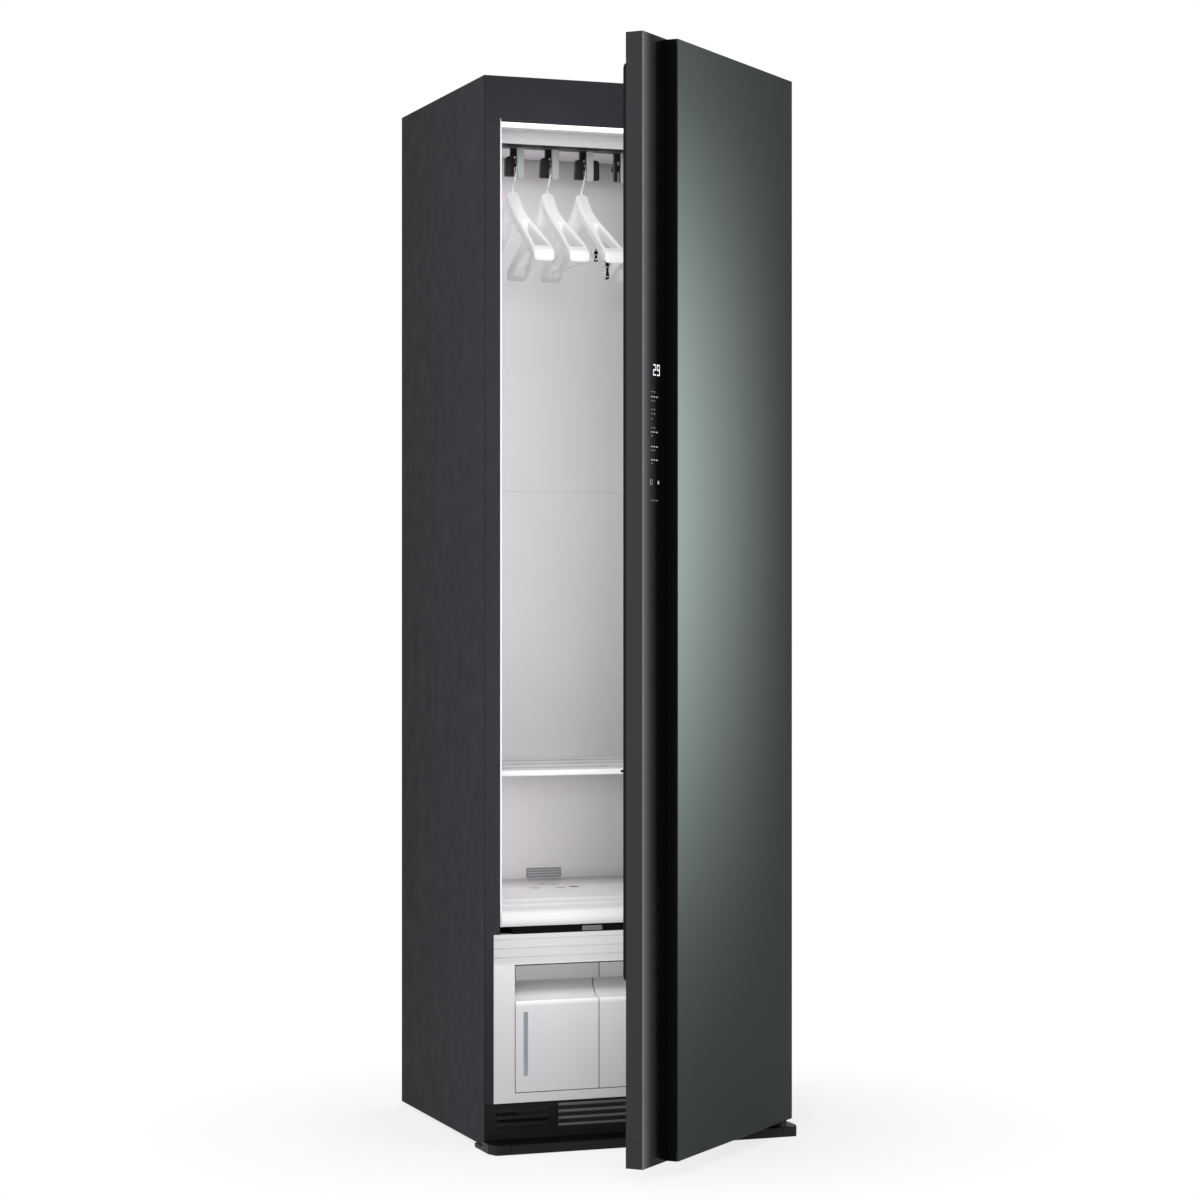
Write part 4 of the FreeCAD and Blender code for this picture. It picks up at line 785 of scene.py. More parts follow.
class CABINET_OT_casing(bpy.types.Operator):
    """Sheet casing, header, stiles, top, feet and hinges"""
    bl_idname = "cabinet.casing"
    bl_label = "Casing"

    def execute(self, context):
        fold = context.scene.casing.fold
        dress("side_paint", fold, "side_panel_left", "side_panel_right", "top_panel")
        dress("casing_paint", fold, "header", "stile_left", "stile_right")
        dress("zinc_sheet", 0.6 * MM, "base_pan")
        dress("zinc_sheet", 0.5 * MM, "hinge_bracket_top")
        dress("casing_paint", 0.5 * MM, "hinge_bracket_bottom")
        dress("black_trim", 1.2 * MM, "hinge_cover")
        dress("screw_steel", 0.5 * MM, "cabinet_screws")
        self.feet()
        self.back_sheet(context.scene.casing)
        return {"FINISHED"}

    def feet(self):
        """Four turned feet: a profile of radius against height carried round each upright axis."""
        low, high = span("levelling_feet")
        radius = 15 * MM
        profile = np.array([(0.6, 0), (0.93, 0), (1, 0.06), (1, 0.2), (0.93, 0.27), (0.55, 0.31),
                            (0.36, 0.34), (0.33, 0.4), (0.33, 0.97), (0.28, 1)])
        angle = np.linspace(0, 2 * math.pi, 28, endpoint=False)
        shell = Shell()
        for x in (low[0] + radius, high[0] - radius):
            for y in (low[1] + radius, high[1] - radius):
                r = profile[:, :1] * radius
                z = np.repeat(low[2] + profile[:, 1:] * (high[2] - low[2]), len(angle), 1)
                shell.solid(np.stack([x + r * np.cos(angle), y + r * np.sin(angle), z], -1))
        make_piece("turned_feet", shell, "cabinet", ["outlet_grey"], ["levelling_feet"])

    def back_sheet(self, settings):
        """A sheet with sunken beads and rows of louvres: stepped levels on one grid."""
        low, high = span("back_panel")
        sheet = high[1] - 2 * MM
        xs = [low[0], -0.245, -0.215, -0.06, 0.06, 0.2, 0.215, 0.245, high[0]]
        rows = [low[2], 0.05]
        for row in range(8):
            rows += [0.12 + row * 0.014, 0.125 + row * 0.014]
        beads = [0.30, 0.34, 0.62, 0.66, 0.94, 0.98, 1.26, 1.30, 1.58, 1.62, 1.82, 1.86]
        zs = rows + beads + [high[2]]
        front = np.full((len(xs) - 1, len(zs) - 1), high[1])
        for row in range(8):
            front[4, 2 + 2 * row] = np.nan
        first = len(rows)
        front[2:6, first:first + len(beads):2] = high[1] - settings.bead
        for column in (1, 6):
            front[column, first:first + 9] = high[1] - settings.bead
        shell = Shell()
        relief(shell, xs, zs, front, sheet)
        gland = np.array([-0.2, 0, 0.07])
        shell.solid(drum(gland, 14 * MM, sheet - 4 * MM, high[1], 1 * MM, 1), finish=1)
        shell.solid(drum(gland, 5 * MM, sheet, high[1], 0.3 * MM, 1), finish=2)
        make_piece("back_sheet", shell, "cabinet",
                   ("zinc_sheet", "black_trim", "rubber"), ["back_panel"], bevel=(0.5 * MM, 2))


# ---- chamber ----

class CABINET_OT_chamber(bpy.types.Operator):
    """Lining, floor tray, light bar, steam outlet and shelf"""
    bl_idname = "cabinet.chamber"
    bl_label = "Chamber"

    def execute(self, context):
        settings = context.scene.chamber
        self.lining(settings)
        self.floor(settings)
        self.shelf(settings)
        self.lamp()
        self.outlet()
        return {"FINISHED"}

    def lining(self, settings):
        """One moulded wall from the left front edge round the back to the right front edge. Its plan
        is a straight run, a quarter circle, the back, a quarter circle and a straight run, carried up
        in Z. The back is pushed out along smooth steps for the band and pulled in for the ledge."""
        low, high = span("chamber_liner")
        rear = span("liner_back_wall")[0][1]
        inner = span("light_lens")[1][0]
        radius = settings.corner
        turn = np.linspace(0, math.pi / 2, 9)
        left = np.stack([np.full(9, -inner), np.concatenate([[low[1]],
                                                             np.linspace(0.004, rear - radius, 8)])], -1)
        bend = np.stack([-inner + radius * (1 - np.cos(turn)), rear - radius + radius * np.sin(turn)], -1)
        back = np.stack([np.linspace(-inner + radius, inner - radius, 61)[1:-1], np.full(59, rear)], -1)
        half = np.vstack([left, bend])
        plan = np.vstack([half, back, half[::-1] * (-1, 1)])
        band_low, band_high = 1.152, 1.211
        ledge_z = 0.6605
        zs = np.unique(np.concatenate([
            np.linspace(low[2], high[2] - 3 * MM, 26), band_low + np.linspace(-1, 5, 7) * MM,
            band_high + np.linspace(-5, 1, 7) * MM, ledge_z + np.linspace(-3, 3, 9) * MM]))
        x, z = np.meshgrid(plan[:, 0], zs, indexing="ij")
        y = np.repeat(plan[:, 1:], len(zs), 1)
        on_back = smooth_step(inner - np.abs(x), 0.020, 0.034) * (y > rear - 1 * MM)
        sunk = smooth_step(z, band_low, band_low + 4 * MM) * (1 - smooth_step(z, band_high - 4 * MM,
            band_high))
        ridge = np.exp(-((z - ledge_z) / (1.4 * MM)) ** 2) * smooth_step(x, -0.03, -0.02)
        y = y + on_back * (1.5 * MM * sunk - 2.2 * MM * ridge)
        wall = np.stack([x, y, z], -1)
        shell = Shell()
        shell.sheet(wall)
        rim = np.stack([wall[0], wall[0] + (low[0] + inner, 0, 0)], 0)
        shell.sheet(rim, finish=1)
        shell.sheet(rim * (-1, 1, 1), finish=1)
        piece = make_piece("chamber_lining", shell, "cabinet", ("lining", "lining_edge"),
                           ["chamber_liner", "liner_back_wall"], outward=False)
        thicken(piece, settings.wall, lambda at, normal: normal.dot(at - Vector((0, 0.15, at.z))) > 0)
        ceiling = Shell()
        depth = np.zeros((3, 3))
        depth[1, 1] = np.nan
        relief(ceiling, [-inner, 0.156, 0.224, inner], [0.008, 0.145, 0.197, rear], depth, 1.0)
        for points in ceiling.points:
            points[:, 1:] = np.stack([points[:, 2], high[2] - 3 * MM + points[:, 1] * 3 * MM], -1)
        make_piece("chamber_ceiling", ceiling, "cabinet", ["lining"], bevel=(0.6 * MM,))
        shell = Shell()
        rest = span("shelf")[0]
        for side in (-1, 1):
            x0, x1 = sorted((side * inner, side * (inner - 8 * MM)))
            shell.block((x0, rest[1], rest[2] - 6.3 * MM), (x1, rear, rest[2] - 0.3 * MM), 1.5 * MM,
                        1.5 * MM, 1)
        make_piece("shelf_ledges", shell, "cabinet", ["lining"])

    def floor(self, settings):
        """The tray's side outline, rounded at its lip, is carried along X and turned up at the sides."""
        side = span("chamber_floor")[1][0]
        outer = np.array([(0.480, 0.443), (0.300, 0.443), (0.108, 0.443), (0.100, 0.4428),
                          (0.095, 0.4420), (0.0915, 0.4404), (0.088, 0.4394), (0.060, 0.4374),
                          (0.0555, 0.4366), (0.0530, 0.4350), (0.0500, 0.4342), (0.012, 0.4312),
                          (0.0070, 0.4302), (0.0035, 0.4285), (0.0012, 0.4255), (0.0002, 0.4215),
                          (0.0, 0.416), (0.0, 0.403)])
        xs = np.concatenate([[-side, -side + 0.5 * MM], np.linspace(-side + 4 * MM, side - 4 * MM, 41),
                             [side - 0.5 * MM, side]])
        x, y = np.meshgrid(xs, outer[:, 0], indexing="ij")
        z = np.repeat(outer[None, :, 1], len(xs), 0)
        cove = np.clip(1 - (side - np.abs(x)) / (4 * MM), 0, 1) ** 2 * 3 * MM
        z = z + cove * smooth_step(z, 0.430, 0.4325)
        shell = Shell()
        shell.sheet(np.stack([x, y, z], -1))
        piece = make_piece("floor_tray", shell, "cabinet", ["tray_lining"],
                           ["chamber_floor"], outward=False)
        thicken(piece, settings.wall, lambda at, normal: normal.z < normal.y)
        vents = Shell()
        for x0, y0, dark in VENTS:
            vents.block((x0, y0, 0.4429), (x0 + 18 * MM, y0 + 22 * MM, 0.4432), 2.5 * MM, 0.1 * MM,
                        finish=dark)
        make_piece("floor_vents", vents, "cabinet", ("outlet_grey", "vent_grey"))

    def shelf(self, settings):
        """Rounded slats along X between two side rims, a middle rib and a deeper front rail."""
        low, high = span("shelf")
        rim = 20 * MM
        shell = Shell()
        pitch = (high[1] - low[1] - 2 * rim) / settings.slats
        for index in range(settings.slats):
            y0 = low[1] + rim + pitch * index + 3 * MM
            shell.block((low[0] + 4 * MM, y0, low[2] + 0.6 * MM),
                        (high[0] - 4 * MM, y0 + pitch - 6 * MM, high[2] - 0.8 * MM), 2.6 * MM, 1 * MM, 0)
        for y0, y1 in ((low[1], low[1] + rim), (high[1] - rim, high[1])):
            shell.block((low[0], y0, low[2]), (high[0], y1, high[2]), 3 * MM, 2 * MM, 0)
        for x0, x1 in ((low[0], low[0] + rim), (-rim / 2, rim / 2), (high[0] - rim, high[0])):
            shell.block((x0, low[1], low[2] + 0.2 * MM), (x1, high[1], high[2] - 0.2 * MM), 2.5 * MM,
                        2 * MM, 1)
        make_piece("slatted_shelf", shell, "shelf_body", ["shelf_white"], ["shelf"])

    def lamp(self):
        """A light bar with a shallow crown across its depth, z rising by the fourth power of the way
        from its middle to its edge, and behind it the silver flange of the apron."""
        low, high = span("light_lens")
        split = low[1] + 0.66 * (high[1] - low[1])
        s = np.linspace(-1, 1, 13)
        y = (low[1] + split) / 2 + s * (split - low[1]) / 2
        under = np.stack([y, low[2] + 1.6 * MM * s ** 4], -1)
        shell = Shell()
        shell.solid(extrude(np.vstack([under, [(split, high[2]), (low[1], high[2])]]), low[0], high[0]))
        shell.block((low[0], split + 0.4 * MM, low[2]), high, 0.6 * MM, 0.4 * MM, finish=1)
        make_piece("light_cover", shell, "cabinet", ("light_bar", "rail_silver"),
                   ["light_lens"])

    def outlet(self):
        """A rounded frame round its mouth; its pipe stays as drawn."""
        dress("outlet_grey", 0.4 * MM, "steam_outlet")
        wall = span("liner_back_wall")[0][1]
        low, high = (-0.057, wall - 2 * MM, 0.446), (0.015, wall, 0.464)
        section = [(-2 * MM, low[1]), (-1 * MM, low[1] - 0.5 * MM), (0, low[1]), (0, wall), (-2 * MM, wall)]
        shell = Shell()
        shell.sheet(surround(low, high, 2 * MM, section), True, True)
        make_piece("outlet_surround", shell, "cabinet", ["outlet_grey"])


# ---- moving rail, holders and hangers ----

# Distances from the neck along an arm of a hanger, and there the drop of its middle line, its half
# width and its height; then the half width of its slot. All in millimetres.
ARM_REACH = (0, 15, 30.5, 68.5, 114, 152, 190)
ARM_DROP = (0, 17, 33, 58, 83, 105, 128)
ARM_HALF_WIDTH = (12, 12, 12.5, 14, 17, 19.5, 20.5)
ARM_HEIGHT = (26, 26, 25.5, 25, 24, 23, 22)
SLOT_REACH = (72, 166, 173)
SLOT_HALF_WIDTH = (3, 13.5, 11)

# Height of the clips' bar in metres; then front, rear, bottom and top of each clip from the peg's
# middle and from that bar, in millimetres.
CLIP_BAR = 1.634
CLIPS = ((-144, -118, -43, 3), (-81, -65, -4, 22))

# Holders counted from the left that have a hook guard, and on which sides.
GUARD_SIDES = {0: (-1,), 1: (-1,), 2: (-1, 1), 4: (-1,)}


class CABINET_OT_rail(bpy.types.Operator):
    """Apron and rail, sliding bar, holders with their hook guards, and straps"""
    bl_idname = "cabinet.rail"
    bl_label = "Rail and holders"

    def execute(self, context):
        dress("rail_silver", 0.5 * MM, "hanger_rail")
        dress("holder_black", 0.5 * MM, "hanger_bar")
        dress("motor_steel", 0.5 * MM, "shaker_motor")
        dress("motor_steel", 0.4 * MM, "crank_disc")
        low, high = span("holder_straps")
        half = 6.8 * MM
        pitch = (high[0] - low[0] - 2 * half) / 5
        places = low[0] + half + np.arange(6) * pitch
        self.straps(places, half, low, high)
        self.arms(places)
        self.underside()
        return {"FINISHED"}

    def straps(self, places, half, low, high):
        """Six rounded tongues."""
        shell = Shell()
        for x in places:
            shell.block((x - half, low[1], low[2]), (x + half, high[1], high[2]),
                        (4 * MM, 0.4 * MM, 0.4 * MM, 4 * MM), 1.2 * MM, 1)
        make_piece("strap_tongues", shell, "carriage", ["strap_grey"], ["holder_straps"])

    def arms(self, places):
        """Forked arms with a round peg for the hook, and rounded guards beside the hooks. Depths and
        heights count from the top of the peg, where the hanger's joint lies."""
        low, high = span("holder_arms")
        peg_y, peg_top = HANGERS[0]["pos_m"][1:]
        front, rear = peg_y - 16 * MM, peg_y - 8 * MM
        shell = Shell()
        for number, x in enumerate(places):
            left, right = x - 8.5 * MM, x + 8.5 * MM
            shell.solid(self.fork(x, low[2] + 4 * MM, high[2] - 3.7 * MM, peg_top + 4.5 * MM, front, rear))
            shell.block((left, low[1], high[2] - 8.7 * MM), (right, rear, high[2]), 1.5 * MM, 0.8 * MM, 1)
            shell.block((left, rear - 1 * MM, peg_top - 12 * MM), (right, peg_y, peg_top - 4 * MM),
                        1 * MM, 0.6 * MM, 0)
            shell.solid(drum((x, peg_y, peg_top - 7 * MM), 7 * MM, left, right, 1.2 * MM, 0))
            for side in GUARD_SIDES.get(number, ()):
                x0, x1 = sorted((x + side * 7.5 * MM, x + side * 24.1 * MM))
                shell.block((x0, front - 18 * MM, peg_top - 36 * MM),
                            (x1, front - 4 * MM, peg_top + 2 * MM), (3 * MM, 8 * MM, 8 * MM, 3 * MM),
                            2 * MM, 1, 7)
                x0, x1 = sorted((x + side * 5.5 * MM, x + side * 10.5 * MM))
                shell.block((x0, front - 5 * MM, peg_top - 28 * MM),
                            (x1, front + 1 * MM, peg_top - 10 * MM), 1 * MM, 0.5 * MM, 1)
        make_piece("forked_arms", shell, "carriage", ["holder_black"], ["holder_arms"],
                   bevel=(0.5 * MM, 2, 60))

    def fork(self, x, bottom, top, slot_top, front, rear):
        """A tongue with rounded lower corners and a slot open below, carried along Y."""
        wide, slot, corner = 8.5 * MM, 2.4 * MM, 4 * MM
        turn = np.linspace(0, math.pi / 2, 6)[:, None]
        right = np.hstack([wide - corner + corner * np.sin(turn), bottom + corner - corner * np.cos(turn)])
        slot_side = np.array([(slot, slot_top), (slot, bottom)])
        half = np.vstack([slot_side, right, [(wide, top)]])
        profile = np.vstack([half, half[::-1] * (-1, 1)])
        return extrude(profile + (x, 0), front, rear, 1)

    def underside(self):
        """Dark glide strip under the apron."""
        low, high = span("hanger_rail")
        profile = [(low[1] + 4 * MM, low[2] + 0.1 * MM), (low[1] + 5 * MM, low[2]), (0.148, low[2]),
                   (0.149, low[2] + 0.1 * MM), (0.149, low[2] + 1 * MM),
                   (low[1] + 4 * MM, low[2] + 1 * MM)]
        shell = Shell()
        shell.solid(extrude(profile, low[0] + 0.5 * MM, high[0] - 0.5 * MM))
        make_piece("glide_strip", shell, "cabinet", ["black_trim"])


class CABINET_OT_hangers(bpy.types.Operator):
    """Four moulded hangers with wire hooks, and the clips on one of them"""
    bl_idname = "cabinet.hangers"
    bl_label = "Hangers"

    def execute(self, context):
        settings = context.scene.hangers
        for number, joint in enumerate(HANGERS, 1):
            self.hanger(number, joint)
            self.hook(number, joint, settings)
        self.clips()
        return {"FINISHED"}

    def hanger(self, number, joint):
        """Rounded rectangles are carried from the neck outwards: one bar at the neck, two rims past
        the slot and one block at the tip. A remesh joins them and rounds where they meet."""
        x, y_mid = joint["pos_m"][:2]
        node = "hanger_%d" % number
        top = span(node)[1][2]
        shell = Shell()
        for side in (-1, 1):
            self.bar(shell, joint, side, top, 0, 76, 0)
            self.bar(shell, joint, side, top, 64, 178, -1)
            self.bar(shell, joint, side, top, 64, 178, 1)
            self.bar(shell, joint, side, top, 172, 190, 0)
        shell.solid(drum((x, y_mid, 0), 4.5 * MM, top - 12 * MM, top + 0.4 * MM, 1.5 * MM))
        piece = make_piece("moulded_" + node, shell, node + "_body", ["hanger_white"],
                           [node], smooth=180.0)
        remesh = piece.modifiers.new("fuse", "REMESH")
        remesh.mode = "VOXEL"
        remesh.voxel_size = 1.5 * MM
        remesh.use_smooth_shade = True
        relax = piece.modifiers.new("relax", "SMOOTH")
        relax.factor = 0.5
        relax.iterations = 4

    def bar(self, shell, joint, side, top, start, end, share):
        """One stretch of an arm. share 0 fills the whole width w, and share -1 or 1 fills from the
        slot's half width s out to w. The last 6 mm of the tip draw in like a quarter circle."""
        reach = np.linspace(start, end, 14)
        wide = np.interp(reach, ARM_REACH, ARM_HALF_WIDTH)
        slot = np.interp(reach, SLOT_REACH, SLOT_HALF_WIDTH) if share else -wide
        tall = np.interp(reach, ARM_REACH, ARM_HEIGHT) / 2
        middle = ARM_HEIGHT[0] / 2 + np.interp(reach, ARM_REACH, ARM_DROP)
        past = np.clip((reach - ARM_REACH[-1] + 6) / 6, 0, 1)
        pull = 6 * (1 - np.sqrt(1 - past ** 2 * 0.98))
        rings = []
        for k, distance in enumerate(reach):
            centre = share * (wide[k] + slot[k]) / 2
            half = (wide[k] - slot[k]) / 2 - pull[k]
            flat = outline(half * MM, (tall[k] - pull[k]) * MM, 7 * MM)
            rings.append(np.stack([joint["pos_m"][0] + centre * MM + flat[:, 0],
                                   np.full(len(flat), joint["pos_m"][1] + side * distance * MM),
                                   top - middle[k] * MM + flat[:, 1]], -1))
        shell.solid(np.array(rings))

    def hook(self, number, joint, settings):
        """An arc over the peg from -20 to 215 degrees, a straight run and an upright stem, with the
        corners between them rounded by a moving average along the path."""
        x, peg_y, peg_top = joint["pos_m"]
        radius = 21.5 * MM
        centre_z = peg_top + 0.3 * MM + settings.wire - radius
        angle = np.radians(np.linspace(-20, 215, 70))
        arc = np.stack([peg_y + radius * np.cos(angle), centre_z + radius * np.sin(angle)], -1)
        way = np.array([-math.sin(angle[-1]), math.cos(angle[-1])])
        turn_point = arc[-1] + way * 12 * MM
        neck = np.array([peg_y, peg_top - 55 * MM])
        foot = np.array([peg_y, peg_top - 60.5 * MM])
        path = arc
        start = arc[-1]
        for end, steps in ((turn_point, 13), (neck, 13), (foot, 6)):
            path = np.vstack([path, start + np.linspace(0, 1, steps)[1:, None] * (end - start)])
            start = end
        kernel = np.ones(5) / 5
        inner = np.stack([np.convolve(path[:, k], kernel, "valid") for k in (0, 1)], -1)
        path = np.vstack([path[:2], inner, path[-2:]])
        path = np.hstack([np.full((len(path), 1), x), path])
        shell = Shell()
        shell.solid(tube(path, settings.wire, (1, 0, 0)))
        shell.solid(tube(path[:3], settings.wire * 1.5, (1, 0, 0)))
        make_piece("wire_hook_%d" % number, shell, "hanger_%d_body" % number,
                   ["hook_wire"], ["hanger_%d_hook" % number])

    def clips(self):
        """Two spring clips on a thin bar: waisted side plates, a dark pad between them and pins."""
        low, high = span("trouser_clips")
        x = (low[0] + high[0]) / 2
        peg_y = HANGERS[2]["pos_m"][1]
        shell = Shell()
        path = np.stack([np.full(12, x), np.linspace(low[1], high[1], 12), np.full(12, CLIP_BAR)], -1)
        shell.solid(tube(path, 1.5 * MM, (1, 0, 0)), 2)
        for front, rear, bottom, top in CLIPS:
            y0, y1 = peg_y + front * MM, peg_y + rear * MM
            z0, z1 = CLIP_BAR + bottom * MM, CLIP_BAR + top * MM
            z = np.linspace(z0, z1, 12)
            waist = (3.4 + 1.6 * np.cos(np.linspace(-0.6, 2 * math.pi - 0.6, 12)) ** 2) * MM
            for side in (-1, 1):
                outer = np.stack([x + side * waist, z], -1)
                inner = np.stack([x + side * (waist - 1.2 * MM), z], -1)[::-1]
                shell.solid(extrude(np.vstack([outer, inner]), y0, y1, 1))
            shell.block((x - 2.6 * MM, y0 + 0.8 * MM, z0 + 1 * MM),
                        (x + 2.6 * MM, y1 - 2 * MM, z1 - 3 * MM), 0.6 * MM, 0.5 * MM, 1, finish=1)
            for z in np.linspace(z0 + 4 * MM, z1 - 6 * MM, 3):
                shell.block((x - 3 * MM, y0 + 0.1 * MM, z), (x + 3 * MM, y0 + 1.6 * MM, z + 1.4 * MM),
                            0.5 * MM, 0.3 * MM, 1)
        make_piece("clip_set", shell, "hanger_3_body",
                   ("polished_chrome", "rubber", "hanger_white"), ["trouser_clips"],
                   bevel=(0.25 * MM, 1, 50))


# ---- lower front ----

class CABINET_OT_lower_front(bpy.types.Operator):
    """Fascia, tank bay, tanks, lint filter, kick plate and plinth"""
    bl_idname = "cabinet.lower_front"
    bl_label = "Lower front"

    def execute(self, context):
        settings = context.scene.lower_front
        self.fascia(settings)
        dress("bay_grey", 0.4 * MM, "tank_bay")
        self.tank("supply", True, settings)
        self.tank("drain", False, settings)
        self.filter()
        self.kick_plate()
        dress("plinth_black", 1.2 * MM, "plinth_bar", "plinth_end_caps")
        return {"FINISHED"}

    def fascia(self, settings):
        """A stepped front with three fine grooves, and the bay's opening left out."""
        low, high = span("lower_fascia")
        tank = (span("supply_tank")[0], span("drain_tank_lid")[1])
        gap = 1.3 * MM
        grooves = np.array([0.3471, 0.3634, 0.3797])
        xs = [low[0], tank[0][0] - gap, tank[1][0] + gap, high[0]]
        zs = [low[2], tank[0][2] - gap, tank[1][2] + gap]
        for z in grooves:
            zs += [z - 0.8 * MM, z + 0.8 * MM]
        zs.append(high[2])
        front = np.zeros((3, len(zs) - 1))
        front[:, 3::2] = settings.groove
        front[1, 1] = np.nan
        shell = Shell()
        relief(shell, xs, zs, front, 3 * MM)
        for side in (-1, 1):
            x0, x1 = sorted((side * high[0], side * (high[0] - 3 * MM)))
            shell.block((x0, 2.9 * MM, low[2]), (x1, high[1], high[2]), 0.2 * MM, 0.1 * MM)
        shell.block((low[0], 2.9 * MM, high[2] - 3 * MM), (high[0], high[1], high[2]), 0.2 * MM, 0.1 * MM)
        make_piece("fascia_front", shell, "cabinet", ["fascia_white"], ["lower_fascia"],
                   bevel=(0.45 * MM, 2))

    def tank(self, kind, has_window, settings):
        """The side outline - flat face, rounded brow, quarter-circle hollow for the fingers, open
        rim - is carried along X. The lid is a rounded plate with a filler cap and its bar on it."""
        low, high = span(kind + "_tank")
        lid_low, lid_high = span(kind + "_tank_lid")
        rim = lid_low[2]
        radius = 38 * MM
        brow = 4 * MM
        face = low[1]
        turn = np.linspace(0, math.pi / 2, 9)
        brow_arc = np.stack([face + brow * (1 - np.cos(turn)),
                             rim - radius - brow + brow * np.sin(turn) + 1.5 * MM], -1)
        hollow_turn = np.linspace(0.13, math.pi / 2, 14)
        hollow = np.stack([face + radius * np.sin(hollow_turn), rim - radius * np.cos(hollow_turn)], -1)
        profile = np.vstack([[(face, low[2])], brow_arc, hollow,
                             [(high[1], rim), (high[1], low[2])]])
        shell = Shell()
        shell.solid(extrude(profile, low[0] + 0.4 * MM, high[0] - 0.4 * MM))
        made = ["tank_white"]
        if has_window:
            x0 = low[0] + 15.5 * MM
            made += ("tank_window", "bay_grey")
            shell.block((x0, face - 0.25 * MM, 0.131), (x0 + 8.5 * MM, face + 1 * MM, 0.247), 2 * MM,
                        0.3 * MM, 1, finish=1)
        make_piece(kind + "_tank_body_shell", shell, kind + "_tank_body", made,
                   [kind + "_tank"], bevel=(settings.edge, 3))
        shell = Shell()
        shell.block((lid_low[0] + 0.4 * MM, face, rim + 0.05 * MM),
                    (lid_high[0] - 0.4 * MM, high[1], lid_high[2] - 0.6 * MM), 1.2 * MM, 0.8 * MM, 0)
        top = lid_high[2]
        make_piece(kind + "_tank_cover", shell, kind + "_tank_body", ["tank_lid"],
                   [kind + "_tank_lid"], bevel=(0.5 * MM, 2))
        middle = np.array([(lid_low[0] + lid_high[0]) / 2, face + 180 * MM, 0])
        shell = Shell()
        shell.solid(drum(middle, 21 * MM, top - 2 * MM, top - 0.1 * MM, 0.8 * MM))
        shell.block(middle + (-16 * MM, -2 * MM, top - 0.6 * MM), middle + (16 * MM, 2 * MM, top), 1 * MM,
                    0.4 * MM)
        make_piece(kind + "_filler_cap", shell, kind + "_tank_body", ["bay_grey"])

    def filter(self):
        """The tray as drawn, with a grey finger tab on its front."""
        dress("tray_black", 0.4 * MM, "lint_filter")
        low, high = span("lint_filter")
        shell = Shell()
        shell.block((-0.109, -0.4 * MM, low[2] + 1.5 * MM), (-0.070, 1 * MM, high[2] - 1 * MM), 2 * MM,
                    0.5 * MM, 1)
        make_piece("filter_tab", shell, "filter_body", ["tab_grey"])

    def kick_plate(self):
        """Louvres: open slots at the left and right, rounded bars across the middle group, and black sheets
        behind the groups that stand in for shade.
        """
        low, high = span("kick_plate")
        groups = ((-0.274, -0.171), (-0.155, 0.155), (0.171, 0.238))
        xs = [low[0]] + [edge for group in groups for edge in group] + [0.243, 0.284, high[0]]
        lowest, highest, slot, notch = 0.030, 0.072, 0.005, 0.0225
        rows = [lowest + row * (highest - lowest - slot) / 3 for row in range(4)]
        zs = [low[2], notch] + [z for row in rows for z in (row, row + slot)] + [high[2]]
        front = np.full((len(xs) - 1, len(zs) - 1), low[1])
        for column in (1, 3, 5):
            front[column, 2::2] = np.nan
        front[-2, 0] = np.nan
        front[2, 2:-1] = low[1] + 1.5 * MM
        shell = Shell()
        relief(shell, xs, zs, front, high[1])
        for row in rows:
            shell.block((groups[1][0] + 0.5 * MM, low[1] - 0.8 * MM, row + 5.6 * MM),
                        (groups[1][1] - 0.5 * MM, low[1] + 3 * MM, row + 11.4 * MM), 2.2 * MM, 1.6 * MM,
                        0, finish=1)
        make_piece("louvred_kick_plate", shell, "cabinet", ("kick_black", "vent_grey"),
                   ["kick_plate"], bevel=(0.5 * MM, 2, 60))
        # Black sheets behind the louvre groups stand in for the shade inside the base.
        shell = Shell()
        for x0, x1 in groups:
            shell.block((x0, high[1] - 3 * MM, rows[0] - 1 * MM),
                        (x1, high[1] - 1 * MM, rows[-1] + 6 * MM), 0.5 * MM, 0.2 * MM, 0)
        make_piece("louvre_screens", shell, "cabinet", ["louvre_screen"])


class CABINET_OT_machine(bpy.types.Operator):
    """Heat exchanger, steam generator, blower, compressor, control box and pipes"""
    bl_idname = "cabinet.machine"
    bl_label = "Machine"

    def execute(self, context):
        dress("exchanger_sheet", 0, "heat_exchanger")
        dress("boiler_cast", 1 * MM, "steam_generator")
        dress("black_trim", 0.8 * MM, "blower_housing")
        dress("box_plastic", 0, "blower_fan")
        dress("can_paint", 0, "compressor")
        dress("box_plastic", 2 * MM, "control_box")
        dress("copper_pipe", 0, "refrigerant_pipes")
        return {"FINISHED"}


# ---- door ----

